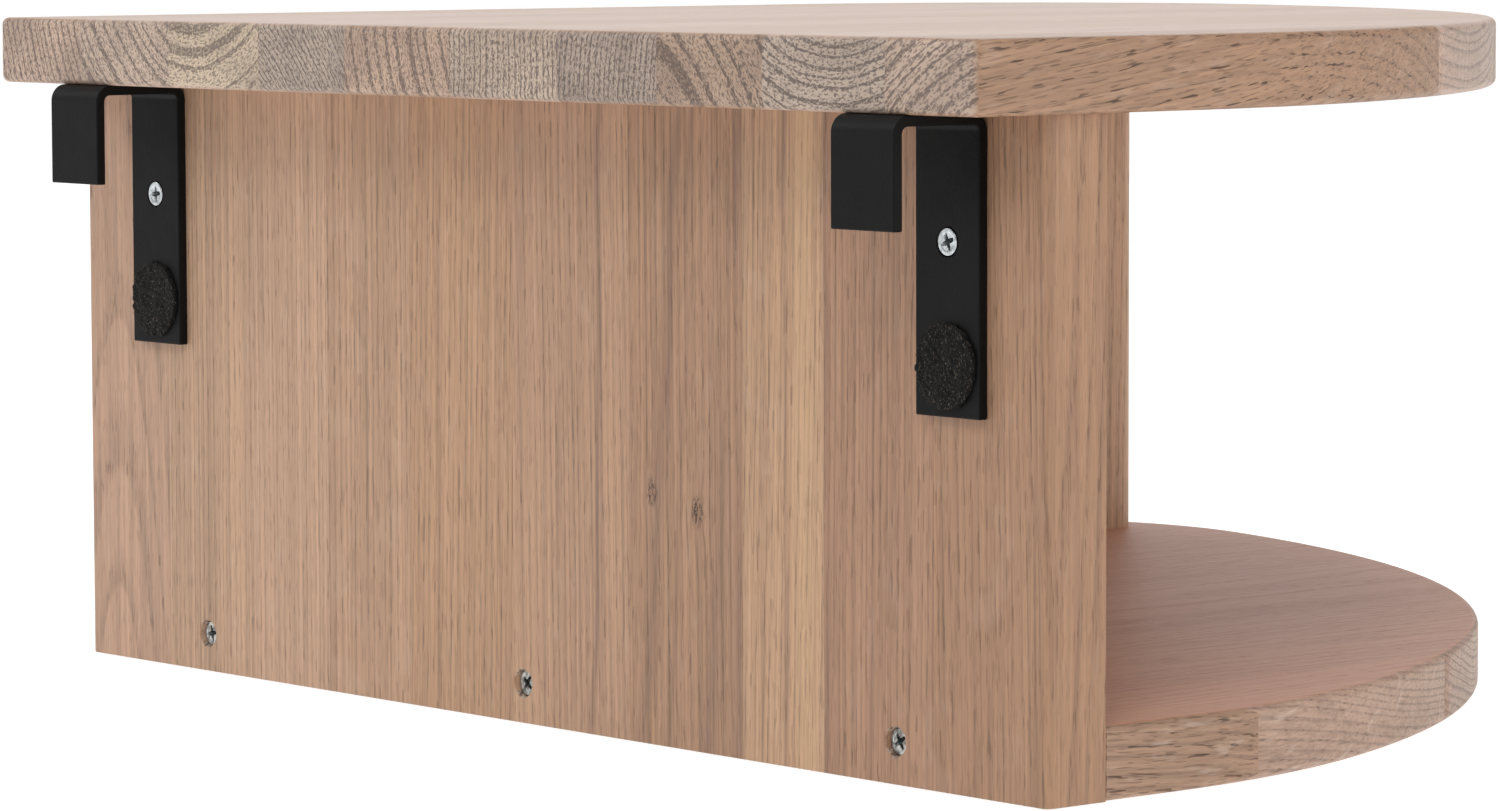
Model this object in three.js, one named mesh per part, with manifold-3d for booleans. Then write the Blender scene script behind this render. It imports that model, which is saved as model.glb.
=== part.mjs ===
// Hanging bedside shelf: four boards of glued oak staves on two bent steel hooks.
//
// Millimetres, +Z up. The open front faces -Y and the hooks stand out at the rear, +Y.
// Left is -X and right is +X, as seen from the front. The origin is the centre of the
// bounding box at the height of the underside.

import * as THREE from 'three';
import { mergeVertices } from 'three/addons/utils/BufferGeometryUtils.js';
import Module from 'manifold-3d';

const wasm = await Module();
wasm.setup();

// ---------------------------------------------------------------- driving dimensions

// Boards
const panelWidth = 442;
const panelThickness = 21;
const overallHeight = 200;
const boardThickness = 20;
const uprightThickness = 20;
const arris = 2;

// Plan outline of the shelf, measured from the rear face of the back panel
const shelfDepth = 392.5;
const sideStraight = 48;
const sideRadius = 240;
const sideSweep = THREE.MathUtils.degToRad(20);
const cornerRadius = 100;

// Top board: how far it stands out past the shelf and past the back panel
const topOverhang = 4;
const rearOverhang = 29;

// Upright divider: free width to its right, and its setback behind the shelf's front
const sideBayWidth = 62;
const uprightSetback = 14.5;

// Stave widths, counted in from each side, with any joint near the middle at its own place.
// The staves in between take what is left.
const topStaves = { right: [45, 47, 46, 42.5], joints: [], left: [34.5, 49, 44, 43.5, 48.5] };
const panelStaves = { right: [44, 42, 41, 41], joints: [4], left: [44, 44.5, 34, 49.5] };
const shelfStaves = {
  right: [23.25, 46.5, 46.5, 46.5, 46.5],
  joints: [],
  left: [2, 44.75, 46.5, 46.5, 46.5],
};
const uprightPitch = 46.5;

// Hooks, with their centres' distances from the panel's ends
const hookInsets = { left: 35.5, right: 42 };
const hookWidth = 25;
const hookGauge = 3;
const hookGap = 26.5;
const hookLeg = 80;
const hookLip = 30;
const hookBend = 2;

// Felt pads on the hook legs
const feltDiameter = 23;
const feltThickness = 1.5;
const feltAboveLegEnd = 13.5;

// Screws
const shankRadius = 2;
const headRadius = 3.65;
const headHeight = 1.8;
const tipLength = 5;
const hookScrewLength = 19;
const hookScrewDrop = 34;
const shelfScrewLength = 50;
const shelfScrewSink = 1.5;
const shelfScrewHeight = 11.5;
const shelfScrewInsets = { left: 59.5, right: 63.5 };
const recessSpan = 3.8;
const recessSlot = 0.9;
const recessDepth = 1.2;

// Dowels
const dowelRadius = 4;
const dowelLength = 30;
const dowelInBoard = 12;
const panelDowelInset = 91;
const uprightDowelReach = [80, 300];

// Clearance round every piece that sits in a bore
const boreClearance = 0.3;

// ---------------------------------------------------------------- derived planes

const hookReach = 2 * hookGauge + hookGap;
const depthOverall = shelfDepth + topOverhang + hookReach;
const panelRear = depthOverall / 2 - hookReach;
const panelFront = panelRear - panelThickness;
const halfPanel = panelWidth / 2;
const underTop = overallHeight - boardThickness;
const uprightRight = halfPanel - sideBayWidth;
const uprightLeft = uprightRight - uprightThickness;
const uprightFront = panelRear - shelfDepth + uprightSetback;
const uprightMiddle = (uprightLeft + uprightRight) / 2;
const panelMiddle = (panelRear + panelFront) / 2;
const hookCentres = { left: hookInsets.left - halfPanel, right: halfPanel - hookInsets.right };
const shelfScrewCentres = {
  right: halfPanel - shelfScrewInsets.right,
  middle: 0,
  left: shelfScrewInsets.left - halfPanel,
};
const panelDowelCentres = [halfPanel - panelDowelInset, 0, panelDowelInset - halfPanel];
const sweep = 1000;

// ---------------------------------------------------------------- finishes

const oakTones = {
  light: '#cbb6a0',
  pale: '#c2ab92',
  mid: '#b5967a',
  dark: '#94785f',
};

/** A new wood material in one of the oak tones. */
function oak(tone) {
  return new THREE.MeshStandardMaterial({ color: oakTones[tone], roughness: 0.62, metalness: 0 });
}

/** Black powder coat on steel. */
function powderCoat() {
  return new THREE.MeshStandardMaterial({ color: '#232323', roughness: 0.6, metalness: 0.2 });
}

/** Bright zinc plating. */
function zinc() {
  return new THREE.MeshStandardMaterial({ color: '#c9d0d2', roughness: 0.3, metalness: 1 });
}

/** Black wool felt. */
function felt() {
  return new THREE.MeshStandardMaterial({ color: '#191919', roughness: 1, metalness: 0 });
}

/** Pale beech, for the dowels. */
function beech() {
  return new THREE.MeshStandardMaterial({ color: '#d2b48c', roughness: 0.7, metalness: 0 });
}

// ---------------------------------------------------------------- solids

/** Turns a closed three.js geometry into a solid that can be joined and cut. */
function toSolid(geometry) {
  const bare = geometry.clone();
  bare.deleteAttribute('normal');
  bare.deleteAttribute('uv');
  const merged = mergeVertices(bare, 1e-4);
  return new wasm.Manifold(new wasm.Mesh({
    numProp: 3,
    vertProperties: new Float32Array(merged.getAttribute('position').array),
    triVerts: new Uint32Array(merged.index.array),
  }));
}

/** Turns a solid back into a three.js geometry with flat shading. */
function toGeometry(solid) {
  const mesh = solid.getMesh();
  const geometry = new THREE.BufferGeometry();
  geometry.setAttribute('position', new THREE.BufferAttribute(mesh.vertProperties, 3));
  geometry.setIndex(new THREE.BufferAttribute(mesh.triVerts, 1));
  geometry.computeVertexNormals();
  return geometry;
}

/** A box between two corners, with its faces exactly on those corners' planes. */
function boxBetween(low, high) {
  const geometry = new THREE.BoxGeometry(1, 1, 1);
  const position = geometry.getAttribute('position');
  const corner = new THREE.Vector3();
  for (let i = 0; i < position.count; i += 1) {
    corner.fromBufferAttribute(position, i);
    const picked = corner.toArray().map((value, axis) => (value < 0 ? low[axis] : high[axis]));
    position.setXYZ(i, ...picked);
  }
  return geometry;
}

/** A cylinder along Y that starts at a point and runs towards -Y. */
function cylinderAlongY([x, y, z], length, radiusAtStart, radiusAtEnd = radiusAtStart) {
  const geometry = new THREE.CylinderGeometry(radiusAtStart, radiusAtEnd, length, 24);
  return geometry.translate(x, y - length / 2, z);
}

/** A cylinder along Z whose lower end is at a point. */
function cylinderAlongZ([x, y, z], length, radius) {
  const geometry = new THREE.CylinderGeometry(radius, radius, length, 20);
  return geometry.rotateX(Math.PI / 2).translate(x, y, z + length / 2);
}

/** Cuts each geometry of a list out of a solid. */
function cut(solid, cutters) {
  return cutters.reduce((rest, cutter) => rest.subtract(toSolid(cutter)), solid);
}

// ---------------------------------------------------------------- plan outline

/** The arc round the front right corner. */
function cornerArc() {
  return {
    x: halfPanel - cornerRadius,
    y: panelRear - shelfDepth + cornerRadius,
  };
}

/** The long front arc: it runs on from the side arc and meets the corner arc smoothly. */
function frontArc(corner) {
  const towards = new THREE.Vector2(Math.cos(sideSweep), Math.sin(sideSweep));
  const start = new THREE.Vector2(-halfPanel + sideRadius, panelRear - sideStraight);
  start.addScaledVector(towards, -sideRadius);
  const offset = start.clone().sub(corner);
  const radius = (cornerRadius ** 2 - offset.lengthSq()) / (2 * (offset.dot(towards) + cornerRadius));
  const centre = start.addScaledVector(towards, radius);
  const end = Math.atan2(corner.y - centre.y, corner.x - centre.x) + 2 * Math.PI;
  return { x: centre.x, y: centre.y, radius, end };
}

/** The D-shaped plan of a board, grown all round by an overhang, with a straight rear edge. */
function boardOutline(grow, rear) {
  const corner = cornerArc();
  const front = frontArc(corner);
  const quarter = Math.PI / 2;
  const shape = new THREE.Shape();
  shape.moveTo(-halfPanel - grow, rear);
  shape.lineTo(-halfPanel - grow, panelRear - sideStraight);
  shape.absarc(-halfPanel + sideRadius, panelRear - sideStraight, sideRadius + grow,
    2 * quarter, 2 * quarter + sideSweep, false);
  shape.absarc(front.x, front.y, front.radius + grow, 2 * quarter + sideSweep, front.end, false);
  shape.absarc(corner.x, corner.y, cornerRadius + grow, front.end, 4 * quarter, false);
  shape.lineTo(halfPanel + grow, rear);
  shape.closePath();
  return shape;
}

/** A board with rounded arrises all round its outline. */
function boardSolid(outline, underside) {
  const geometry = new THREE.ExtrudeGeometry(outline, {
    depth: boardThickness - 2 * arris,
    bevelEnabled: true,
    bevelThickness: arris,
    bevelSize: arris,
    bevelOffset: -arris,
    bevelSegments: 2,
    curveSegments: 14,
  });
  return toSolid(geometry.translate(0, 0, underside + arris));
}

// ---------------------------------------------------------------- staves

/** The cut planes of a board's staves, counted in from each side of the board. */
function sideEdges(half, { right, joints, left }) {
  const edges = [half];
  right.forEach((width) => edges.push(edges.at(-1) - width));
  const others = [-half];
  left.forEach((width) => others.push(others.at(-1) + width));
  return [...edges, ...joints, ...others.reverse()];
}

/** The cut planes of equal staves, with the last stave taking what is left. */
function evenEdges(start, pitch, end) {
  const edges = [];
  for (let edge = start; edge > end + 1; edge -= pitch) {
    edges.push(edge);
  }
  return [...edges, end];
}

const group = new THREE.Group();

/** Adds one named piece to the model. */
function addPiece(name, geometry, material) {
  const mesh = new THREE.Mesh(geometry, material);
  mesh.name = name;
  group.add(mesh);
}

/** Slices a board into staves along one axis and adds each as its own piece. */
function addStaves(name, solid, edges, axis, tones) {
  for (let i = 0; i + 1 < edges.length; i += 1) {
    const low = [-sweep, -sweep, -sweep];
    const high = [sweep, sweep, sweep];
    low[axis] = edges[i + 1];
    high[axis] = edges[i];
    const stave = solid.intersect(toSolid(boxBetween(low, high)));
    const label = `${name}_stave_${String(i + 1).padStart(2, '0')}`;
    addPiece(label, toGeometry(stave), oak(tones[i % tones.length]));
  }
}

// ---------------------------------------------------------------- dowels and screws

/** The dowels: where each one's lower end is. */
function dowelPlaces() {
  const places = [];
  const topStart = underTop + dowelInBoard - dowelLength;
  const baseStart = boardThickness - dowelInBoard;
  panelDowelCentres.forEach((x, i) => {
    places.push({ name: `dowel_panel_${i + 1}`, at: [x, panelMiddle, topStart] });
  });
  uprightDowelReach.forEach((reach, i) => {
    const y = panelRear - reach;
    places.push({ name: `dowel_upright_top_${i + 1}`, at: [uprightMiddle, y, topStart] });
    places.push({ name: `dowel_upright_base_${i + 1}`, at: [uprightMiddle, y, baseStart] });
  });
  return places;
}

/** The bores that all the dowels sit in. */
function dowelBores() {
  return dowelPlaces().map(({ at: [x, y, z] }) => cylinderAlongZ(
    [x, y, z - boreClearance],
    dowelLength + 2 * boreClearance,
    dowelRadius + boreClearance,
  ));
}

/** The screws: where each head's outer face is, the screw's length, and its name. */
function screwPlaces() {
  const places = [];
  const hookFace = panelRear + hookGauge;
  const upper = underTop - hookScrewDrop;
  const lower = underTop - hookLeg + feltAboveLegEnd;
  for (const [side, x] of Object.entries(hookCentres)) {
    places.push({ name: `hook_screw_${side}_upper`, at: [x, hookFace, upper], length: hookScrewLength });
    places.push({ name: `hook_screw_${side}_lower`, at: [x, hookFace, lower], length: hookScrewLength });
  }
  const sunk = panelRear - shelfScrewSink;
  for (const [side, x] of Object.entries(shelfScrewCentres)) {
    places.push({ name: `shelf_screw_${side}`, at: [x, sunk, shelfScrewHeight], length: shelfScrewLength });
  }
  return places;
}

/** The shank and head bores of all the screws, open to the rear. */
function screwBores() {
  return screwPlaces().flatMap(({ at: [x, y, z], length }) => {
    const shank = cylinderAlongY([x, y, z], length + boreClearance, shankRadius + boreClearance);
    const wide = headRadius + boreClearance;
    const mouth = cylinderAlongY([x, y + 2 * hookGauge, z], 2 * hookGauge, wide);
    const seat = cylinderAlongY([x, y, z], headHeight + boreClearance, wide, shankRadius + boreClearance);
    return [shank, mouth, seat];
  });
}

/** A countersunk screw with a cross recess, pointing along -Y. */
function screwGeometry([x, y, z], length) {
  const profile = [
    new THREE.Vector2(0, -length),
    new THREE.Vector2(shankRadius, -length + tipLength),
    new THREE.Vector2(shankRadius, -headHeight),
    new THREE.Vector2(headRadius, -0.3),
    new THREE.Vector2(headRadius, 0),
    new THREE.Vector2(0, 0),
  ];
  const body = toSolid(new THREE.LatheGeometry(profile, 24));
  const half = recessSpan / 2;
  const slot = recessSlot / 2;
  const across = boxBetween([-half, -recessDepth, -slot], [half, 1, slot]);
  const along = boxBetween([-slot, -recessDepth, -half], [slot, 1, half]);
  return toGeometry(cut(body, [across, along])).translate(x, y, z);
}

function addDowels() {
  dowelPlaces().forEach(({ name, at }) => {
    addPiece(name, cylinderAlongZ(at, dowelLength, dowelRadius), beech());
  });
}

function addScrews() {
  screwPlaces().forEach(({ name, at, length }) => addPiece(name, screwGeometry(at, length), zinc()));
}

// ---------------------------------------------------------------- boards

const bores = [...dowelBores(), ...screwBores()];

/** Top board: reaches past the back panel at the rear, over the hooks. */
function addTop() {
  const rear = panelRear + rearOverhang;
  const solid = cut(boardSolid(boardOutline(topOverhang, rear), underTop), bores);
  const edges = sideEdges(halfPanel + topOverhang, topStaves);
  addStaves('top', solid, edges, 0, ['mid', 'light', 'light', 'light', 'mid']);
}

/** Bottom shelf: butts against the front of the back panel. */
function addShelf() {
  const whole = boardSolid(boardOutline(0, panelRear), 0);
  const behind = boxBetween([-sweep, panelFront, -sweep], [sweep, sweep, sweep]);
  const solid = cut(whole, [behind, ...bores]);
  addStaves('shelf', solid, sideEdges(halfPanel, shelfStaves), 0, ['pale', 'mid']);
}

/** Back panel: upright staves, with a small round on its two rear corners. */
function addPanel() {
  const shape = new THREE.Shape();
  shape.moveTo(-halfPanel, panelFront);
  shape.lineTo(halfPanel, panelFront);
  shape.lineTo(halfPanel, panelRear - arris);
  shape.absarc(halfPanel - arris, panelRear - arris, arris, 0, Math.PI / 2, false);
  shape.lineTo(arris - halfPanel, panelRear);
  shape.absarc(arris - halfPanel, panelRear - arris, arris, Math.PI / 2, Math.PI, false);
  shape.closePath();
  const geometry = new THREE.ExtrudeGeometry(shape, {
    depth: underTop,
    bevelEnabled: false,
    curveSegments: 4,
  });
  const tones = ['pale', 'pale', 'pale', 'mid', 'mid', 'mid', 'dark', 'pale', 'dark', 'dark'];
  addStaves('panel', cut(toSolid(geometry), bores), sideEdges(halfPanel, panelStaves), 0, tones);
}

/** Upright divider between shelf and top, with a half-round front edge. */
function addUpright() {
  const nose = uprightThickness / 2;
  const shape = new THREE.Shape();
  shape.moveTo(uprightLeft, panelFront);
  shape.lineTo(uprightLeft, uprightFront + nose);
  shape.absarc(uprightMiddle, uprightFront + nose, nose, Math.PI, 2 * Math.PI, false);
  shape.lineTo(uprightRight, panelFront);
  shape.closePath();
  const geometry = new THREE.ExtrudeGeometry(shape, {
    depth: underTop - boardThickness,
    bevelEnabled: false,
    curveSegments: 16,
  });
  const solid = cut(toSolid(geometry.translate(0, 0, boardThickness)), bores);
  addStaves('upright', solid, evenEdges(panelFront, uprightPitch, uprightFront), 1, ['mid', 'pale']);
}

// ---------------------------------------------------------------- hooks

/** Side view of a hook in the YZ plane: leg on the panel, arm under the top, lip behind. */
function hookProfile() {
  const legEnd = underTop - hookLeg;
  const lipEnd = underTop - hookLip;
  const inner = hookBend;
  const outer = hookBend + hookGauge;
  const lipRear = panelRear + hookReach;
  const legRear = panelRear + hookGauge;
  const lipFront = lipRear - hookGauge;
  const armUnder = underTop - hookGauge;
  const quarter = Math.PI / 2;
  const shape = new THREE.Shape();
  shape.moveTo(panelRear, legEnd);
  shape.lineTo(legRear, legEnd);
  shape.lineTo(legRear, armUnder - inner);
  shape.absarc(legRear + inner, armUnder - inner, inner, 2 * quarter, quarter, true);
  shape.lineTo(lipFront - inner, armUnder);
  shape.absarc(lipFront - inner, armUnder - inner, inner, quarter, 0, true);
  shape.lineTo(lipFront, lipEnd);
  shape.lineTo(lipRear, lipEnd);
  shape.lineTo(lipRear, underTop - outer);
  shape.absarc(lipRear - outer, underTop - outer, outer, 0, quarter, false);
  shape.lineTo(panelRear + outer, underTop);
  shape.absarc(panelRear + outer, underTop - outer, outer, quarter, 2 * quarter, false);
  shape.closePath();
  return shape;
}

/** One hook, bored for its two countersunk screws. */
function hookGeometry(x) {
  const geometry = new THREE.ExtrudeGeometry(hookProfile(), {
    depth: hookWidth,
    bevelEnabled: false,
    curveSegments: 5,
  });
  const yAxis = new THREE.Vector3(0, 1, 0);
  const zAxis = new THREE.Vector3(0, 0, 1);
  const xAxis = new THREE.Vector3(1, 0, 0);
  geometry.applyMatrix4(new THREE.Matrix4().makeBasis(yAxis, zAxis, xAxis));
  geometry.translate(x - hookWidth / 2, 0, 0);
  return toGeometry(cut(toSolid(geometry), screwBores()));
}

/** One felt pad, stuck on the hook's leg over the lower screw. */
function feltGeometry(x) {
  const face = panelRear + hookGauge;
  const z = underTop - hookLeg + feltAboveLegEnd;
  const geometry = new THREE.CylinderGeometry(feltDiameter / 2, feltDiameter / 2, feltThickness, 40);
  return geometry.translate(x, face + feltThickness / 2, z);
}

function addHooks() {
  for (const [side, x] of Object.entries(hookCentres)) {
    addPiece(`hook_${side}`, hookGeometry(x), powderCoat());
    addPiece(`felt_${side}`, feltGeometry(x), felt());
  }
}

addTop();
addPanel();
addShelf();
addUpright();
addHooks();
addScrews();
addDowels();

export default group;
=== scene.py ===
"""The looks of a hanging bedside shelf: oak staves, two black steel hooks, zinc screws and felt pads."""

import logging
import math
from dataclasses import dataclass, replace
from enum import Enum

import bmesh
import bpy
import numpy as np
from mathutils import Euler, Matrix, Vector


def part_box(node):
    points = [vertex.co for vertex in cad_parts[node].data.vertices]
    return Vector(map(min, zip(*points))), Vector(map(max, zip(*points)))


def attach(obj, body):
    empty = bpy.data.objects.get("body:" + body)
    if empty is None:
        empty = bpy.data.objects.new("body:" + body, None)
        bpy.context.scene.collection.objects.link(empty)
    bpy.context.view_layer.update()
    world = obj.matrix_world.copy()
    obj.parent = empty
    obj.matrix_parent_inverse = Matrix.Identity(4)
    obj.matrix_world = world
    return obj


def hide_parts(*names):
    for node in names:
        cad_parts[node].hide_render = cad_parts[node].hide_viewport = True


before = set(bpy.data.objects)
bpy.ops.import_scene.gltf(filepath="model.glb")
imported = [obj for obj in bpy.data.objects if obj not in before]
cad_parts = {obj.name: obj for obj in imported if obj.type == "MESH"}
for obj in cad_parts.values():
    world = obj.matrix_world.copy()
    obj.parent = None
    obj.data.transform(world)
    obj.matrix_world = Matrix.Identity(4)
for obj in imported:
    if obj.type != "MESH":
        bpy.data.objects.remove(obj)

log = logging.getLogger("shelf")
BODY = "root"
MM = 0.001
FULL_TURN = 2 * math.pi


# ------------------------------------------------------------------ numbers and colours


def linear(red: int, green: int, blue: int) -> tuple[float, float, float, float]:
    """Screen colour to linear light.

    Args:
        red: Red, 0 to 255.
        green: Green, 0 to 255.
        blue: Blue, 0 to 255.

    Returns:
        The linear colour with a full alpha.
    """
    parts = [
        c / 12.92 if c <= 0.04045 else ((c + 0.055) / 1.055) ** 2.4
        for c in (red / 255, green / 255, blue / 255)
    ]
    return (*parts, 1.0)


def ripple(points: np.ndarray, waves: int, fine: float, rng: np.random.Generator) -> np.ndarray:
    """Smooth random height: the mean of sine waves with random directions and phases.

    Args:
        points: Places, one row each.
        waves: How many sine waves are added.
        fine: Typical waves per metre.
        rng: Seeded source of random numbers.

    Returns:
        One height for each point, roughly from -1 to 1.
    """
    pitch = FULL_TURN * fine * rng.uniform(0.5, 1.5, waves)
    ways = rng.normal(size=(waves, points.shape[-1]))
    ways /= np.linalg.norm(ways, axis=1, keepdims=True)
    turn = points @ (ways * pitch[:, None]).T + rng.uniform(0, FULL_TURN, waves)
    return np.sin(turn).sum(-1) * math.sqrt(2 / waves) / 2


# ------------------------------------------------------------------ meshes


@dataclass
class Skin:
    """A surface as points and faces."""

    points: np.ndarray
    faces: list[tuple[int, ...]]

    def piece(self, name: str) -> bpy.types.Object:
        """A new object at the origin that holds this surface.

        Args:
            name: The object's name.

        Returns:
            The object, linked to the scene.
        """
        mesh = bpy.data.meshes.new(name)
        mesh.from_pydata(self.points.tolist(), [], self.faces)
        mesh.update()
        piece = bpy.data.objects.new(name, mesh)
        bpy.context.scene.collection.objects.link(piece)
        return piece


def band_faces(rings: int, around: int, first: int = 0) -> list[tuple[int, ...]]:
    """Quads between rings of points, each ring closed on itself.

    Args:
        rings: Number of rings.
        around: Points in a ring.
        first: Number of the first ring's first point.

    Returns:
        The faces, facing outwards where rings climb and points run anticlockwise.
    """
    row = np.arange(rings - 1)[:, None] * around + first
    here = np.arange(around)[None, :]
    after = (here + 1) % around
    quads = np.stack([row + here, row + after, row + around + after, row + around + here], -1)
    return [tuple(q) for q in quads.reshape(-1, 4).tolist()]


def outward(outline: np.ndarray) -> np.ndarray:
    """Outward directions of an anticlockwise outline, longer at corners so that an offset keeps its width.

    Args:
        outline: Points of the closed outline.

    Returns:
        One direction for each point.
    """
    ahead = np.roll(outline, -1, 0) - outline
    ahead /= np.linalg.norm(ahead, axis=1, keepdims=True)
    side = np.stack([ahead[:, 1], -ahead[:, 0]], -1)
    both = side + np.roll(side, 1, 0)
    return 2 * both / (both**2).sum(-1, keepdims=True)


def rounded_slab(
    outline: np.ndarray, low: float, high: float, round_low: float, round_high: float, axis: int
) -> Skin:
    """A flat outline carried along an axis, with quarter-round edges.

    Each ring is the outline moved inwards by r (1 - cos t), at height r (1 - sin t) from the end face,
    for t from 0 to 90 degrees.

    Args:
        outline: Anticlockwise closed outline in the plane of the two axes that follow axis.
        low: Start along the axis.
        high: End along the axis.
        round_low: Radius of the edge at the start.
        round_high: Radius of the edge at the end.
        axis: 0, 1 or 2, the axis that the outline is carried along.

    Returns:
        The closed surface.
    """
    turn = np.linspace(0, math.pi / 2, 7)
    bend = np.stack([1 - np.cos(turn), 1 - np.sin(turn)], -1)
    start = bend[::-1] * round_low if round_low else np.zeros((1, 2))
    end = bend * round_high if round_high else np.zeros((1, 2))
    rows = np.concatenate([start + [0, low], end * [1, -1] + [0, high]])
    ways = outward(outline)
    flat = outline[None] - ways[None] * rows[:, None, :1]
    height = np.broadcast_to(rows[:, None, 1:], (*flat.shape[:2], 1))
    points = np.concatenate([flat, height], -1).reshape(-1, 3)
    around = len(outline)
    last = (len(rows) - 1) * around
    faces = band_faces(len(rows), around)
    faces.append(tuple(range(around - 1, -1, -1)))
    faces.append(tuple(range(last, last + around)))
    return Skin(np.roll(points, axis + 1, axis=1), faces)


def arc(centre: tuple[float, float], radius: float, start: float, end: float, steps: int) -> np.ndarray:
    """Points along a circular arc.

    Args:
        centre: The circle's centre.
        radius: The circle's radius.
        start: First angle, in radians.
        end: Last angle, in radians.
        steps: Number of steps along the arc.

    Returns:
        The points, both ends among them.
    """
    turn = np.linspace(start, end, steps + 1)
    return np.array(centre) + radius * np.stack([np.cos(turn), np.sin(turn)], -1)


def eased(corners: list[tuple[float, float]], radii: list[float], steps: int = 5) -> np.ndarray:
    """A polygon with its corners rounded.

    Each corner gives way to the arc that touches both of its sides.

    Args:
        corners: The polygon's corners, anticlockwise.
        radii: One radius for each corner, 0 for a sharp one.
        steps: Steps along a rounded corner.

    Returns:
        The outline's points.
    """
    parts = []
    for i, radius in enumerate(radii):
        here, before, after = (np.array(corners[(i + k) % len(corners)]) for k in (0, -1, 1))
        if not radius:
            parts.append(here[None])
            continue
        inward, ahead = here - before, after - here
        inward, ahead = inward / np.linalg.norm(inward), ahead / np.linalg.norm(ahead)
        turn = math.atan2(inward[0] * ahead[1] - inward[1] * ahead[0], inward @ ahead)
        side = math.copysign(1, turn)
        back = here - inward * radius * math.tan(abs(turn) / 2)
        centre = back + side * radius * np.array([-inward[1], inward[0]])
        start = math.atan2(*(back - centre)[::-1])
        parts.append(arc(tuple(centre), radius, start, start + turn, steps))
    return np.concatenate(parts)


def sliced(skin: Skin, axis: int, low: float, high: float) -> Skin:
    """The part of a closed surface between two planes across an axis, with its cut faces filled.

    Args:
        skin: The closed surface.
        axis: 0, 1 or 2.
        low: The lower plane's place on the axis.
        high: The upper plane's place on the axis.

    Returns:
        The closed part between the planes.
    """
    work = bmesh.new()
    mesh = bpy.data.meshes.new("slice")
    mesh.from_pydata(skin.points.tolist(), [], skin.faces)
    work.from_mesh(mesh)
    bpy.data.meshes.remove(mesh)
    for place, way in ((low, -1), (high, 1)):
        spot, normal = Vector(), Vector()
        spot[axis], normal[axis] = place, way
        everything = [*work.verts, *work.edges, *work.faces]
        cut = bmesh.ops.bisect_plane(
            work, geom=everything, dist=1e-7, plane_co=spot, plane_no=normal, clear_outer=True
        )
        edges = [e for e in cut["geom_cut"] if isinstance(e, bmesh.types.BMEdge) and e.is_boundary]
        if edges:
            bmesh.ops.holes_fill(work, edges=edges, sides=0)
    bmesh.ops.recalc_face_normals(work, faces=work.faces)
    work.verts.index_update()
    points = np.array([v.co for v in work.verts])
    faces = [tuple(v.index for v in f.verts) for f in work.faces]
    work.free()
    return Skin(points, faces)


def turned(profile: np.ndarray, around: int, top: np.ndarray | None = None) -> Skin:
    """A profile turned about the Z axis, closed at both poles.

    A point at radius r and height h of the profile goes to (r cos a, r sin a, h) for each angle a.

    Args:
        profile: Radius and height of each ring, from the lower pole to the upper one.
        around: Points round each ring.
        top: Heights that are added to the rings, one row for each ring.

    Returns:
        The closed surface.
    """
    turn = np.linspace(0, FULL_TURN, around, endpoint=False)
    radius, height = profile[1:-1, :1], profile[1:-1, 1:]
    added = 0 if top is None else top[1:-1]
    rings = np.stack(
        [radius * np.cos(turn), radius * np.sin(turn), height + added + 0 * turn], -1
    ).reshape(-1, 3)
    lift = 0 if top is None else top[-1, 0]
    poles = np.array([[0, 0, profile[0, 1]], [0, 0, profile[-1, 1] + lift]])
    low, high = len(rings), len(rings) + 1
    last = len(rings) - around
    faces = band_faces(len(profile) - 2, around)
    faces += [(low, (i + 1) % around, i) for i in range(around)]
    faces += [(high, last + i, last + (i + 1) % around) for i in range(around)]
    return Skin(np.concatenate([rings, poles]), faces)


def facing_rear(skin: Skin, x: float, y: float, z: float) -> Skin:
    """A surface turned about Z, laid over so that its upper end faces +Y, and moved to a place.

    Args:
        skin: The surface, built about the Z axis.
        x: Place along X.
        y: Place along Y.
        z: Place along Z.

    Returns:
        The surface in place.
    """
    across, up, out = skin.points.T
    return Skin(np.stack([x - across, y + out, z + up], -1), skin.faces)


def finished(piece: bpy.types.Object, angle: float = 32.0) -> bpy.types.Object:
    """Smooth shading with crisp edges, and normals that follow the large flat faces.

    Args:
        piece: The piece, with or without live modifiers.
        angle: Edges that bend more than this many degrees stay crisp.

    Returns:
        The same piece, with its modifiers worked into its mesh.
    """
    mesh = evaluated(piece)
    mesh.shade_smooth()
    mesh.set_sharp_from_angle(angle=math.radians(angle))
    piece.modifiers.clear()
    piece.data = mesh
    weigh = piece.modifiers.new("weigh", "WEIGHTED_NORMAL")
    weigh.keep_sharp = True
    piece.data = evaluated(piece)
    piece.modifiers.clear()
    piece.data.name = piece.name
    return piece


def evaluated(piece: bpy.types.Object) -> bpy.types.Mesh:
    """A new mesh that has the piece's modifiers worked in."""
    graph = bpy.context.evaluated_depsgraph_get()
    return bpy.data.meshes.new_from_object(piece.evaluated_get(graph), depsgraph=graph)


def carved(piece: bpy.types.Object, cutters: list[Skin]) -> bpy.types.Object:
    """A piece with each cutter's space taken out of it.

    Args:
        piece: The piece to carve.
        cutters: Closed surfaces in the piece's own space.

    Returns:
        The same piece, carved.
    """
    for i, cutter in enumerate(cutters):
        tool = cutter.piece(f"{piece.name}_cutter_{i}")
        take = piece.modifiers.new("take", "BOOLEAN")
        take.operation, take.solver, take.object = "DIFFERENCE", "EXACT", tool
        mesh = evaluated(piece)
        piece.modifiers.clear()
        piece.data = mesh
        bpy.data.objects.remove(tool)
    return piece


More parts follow.
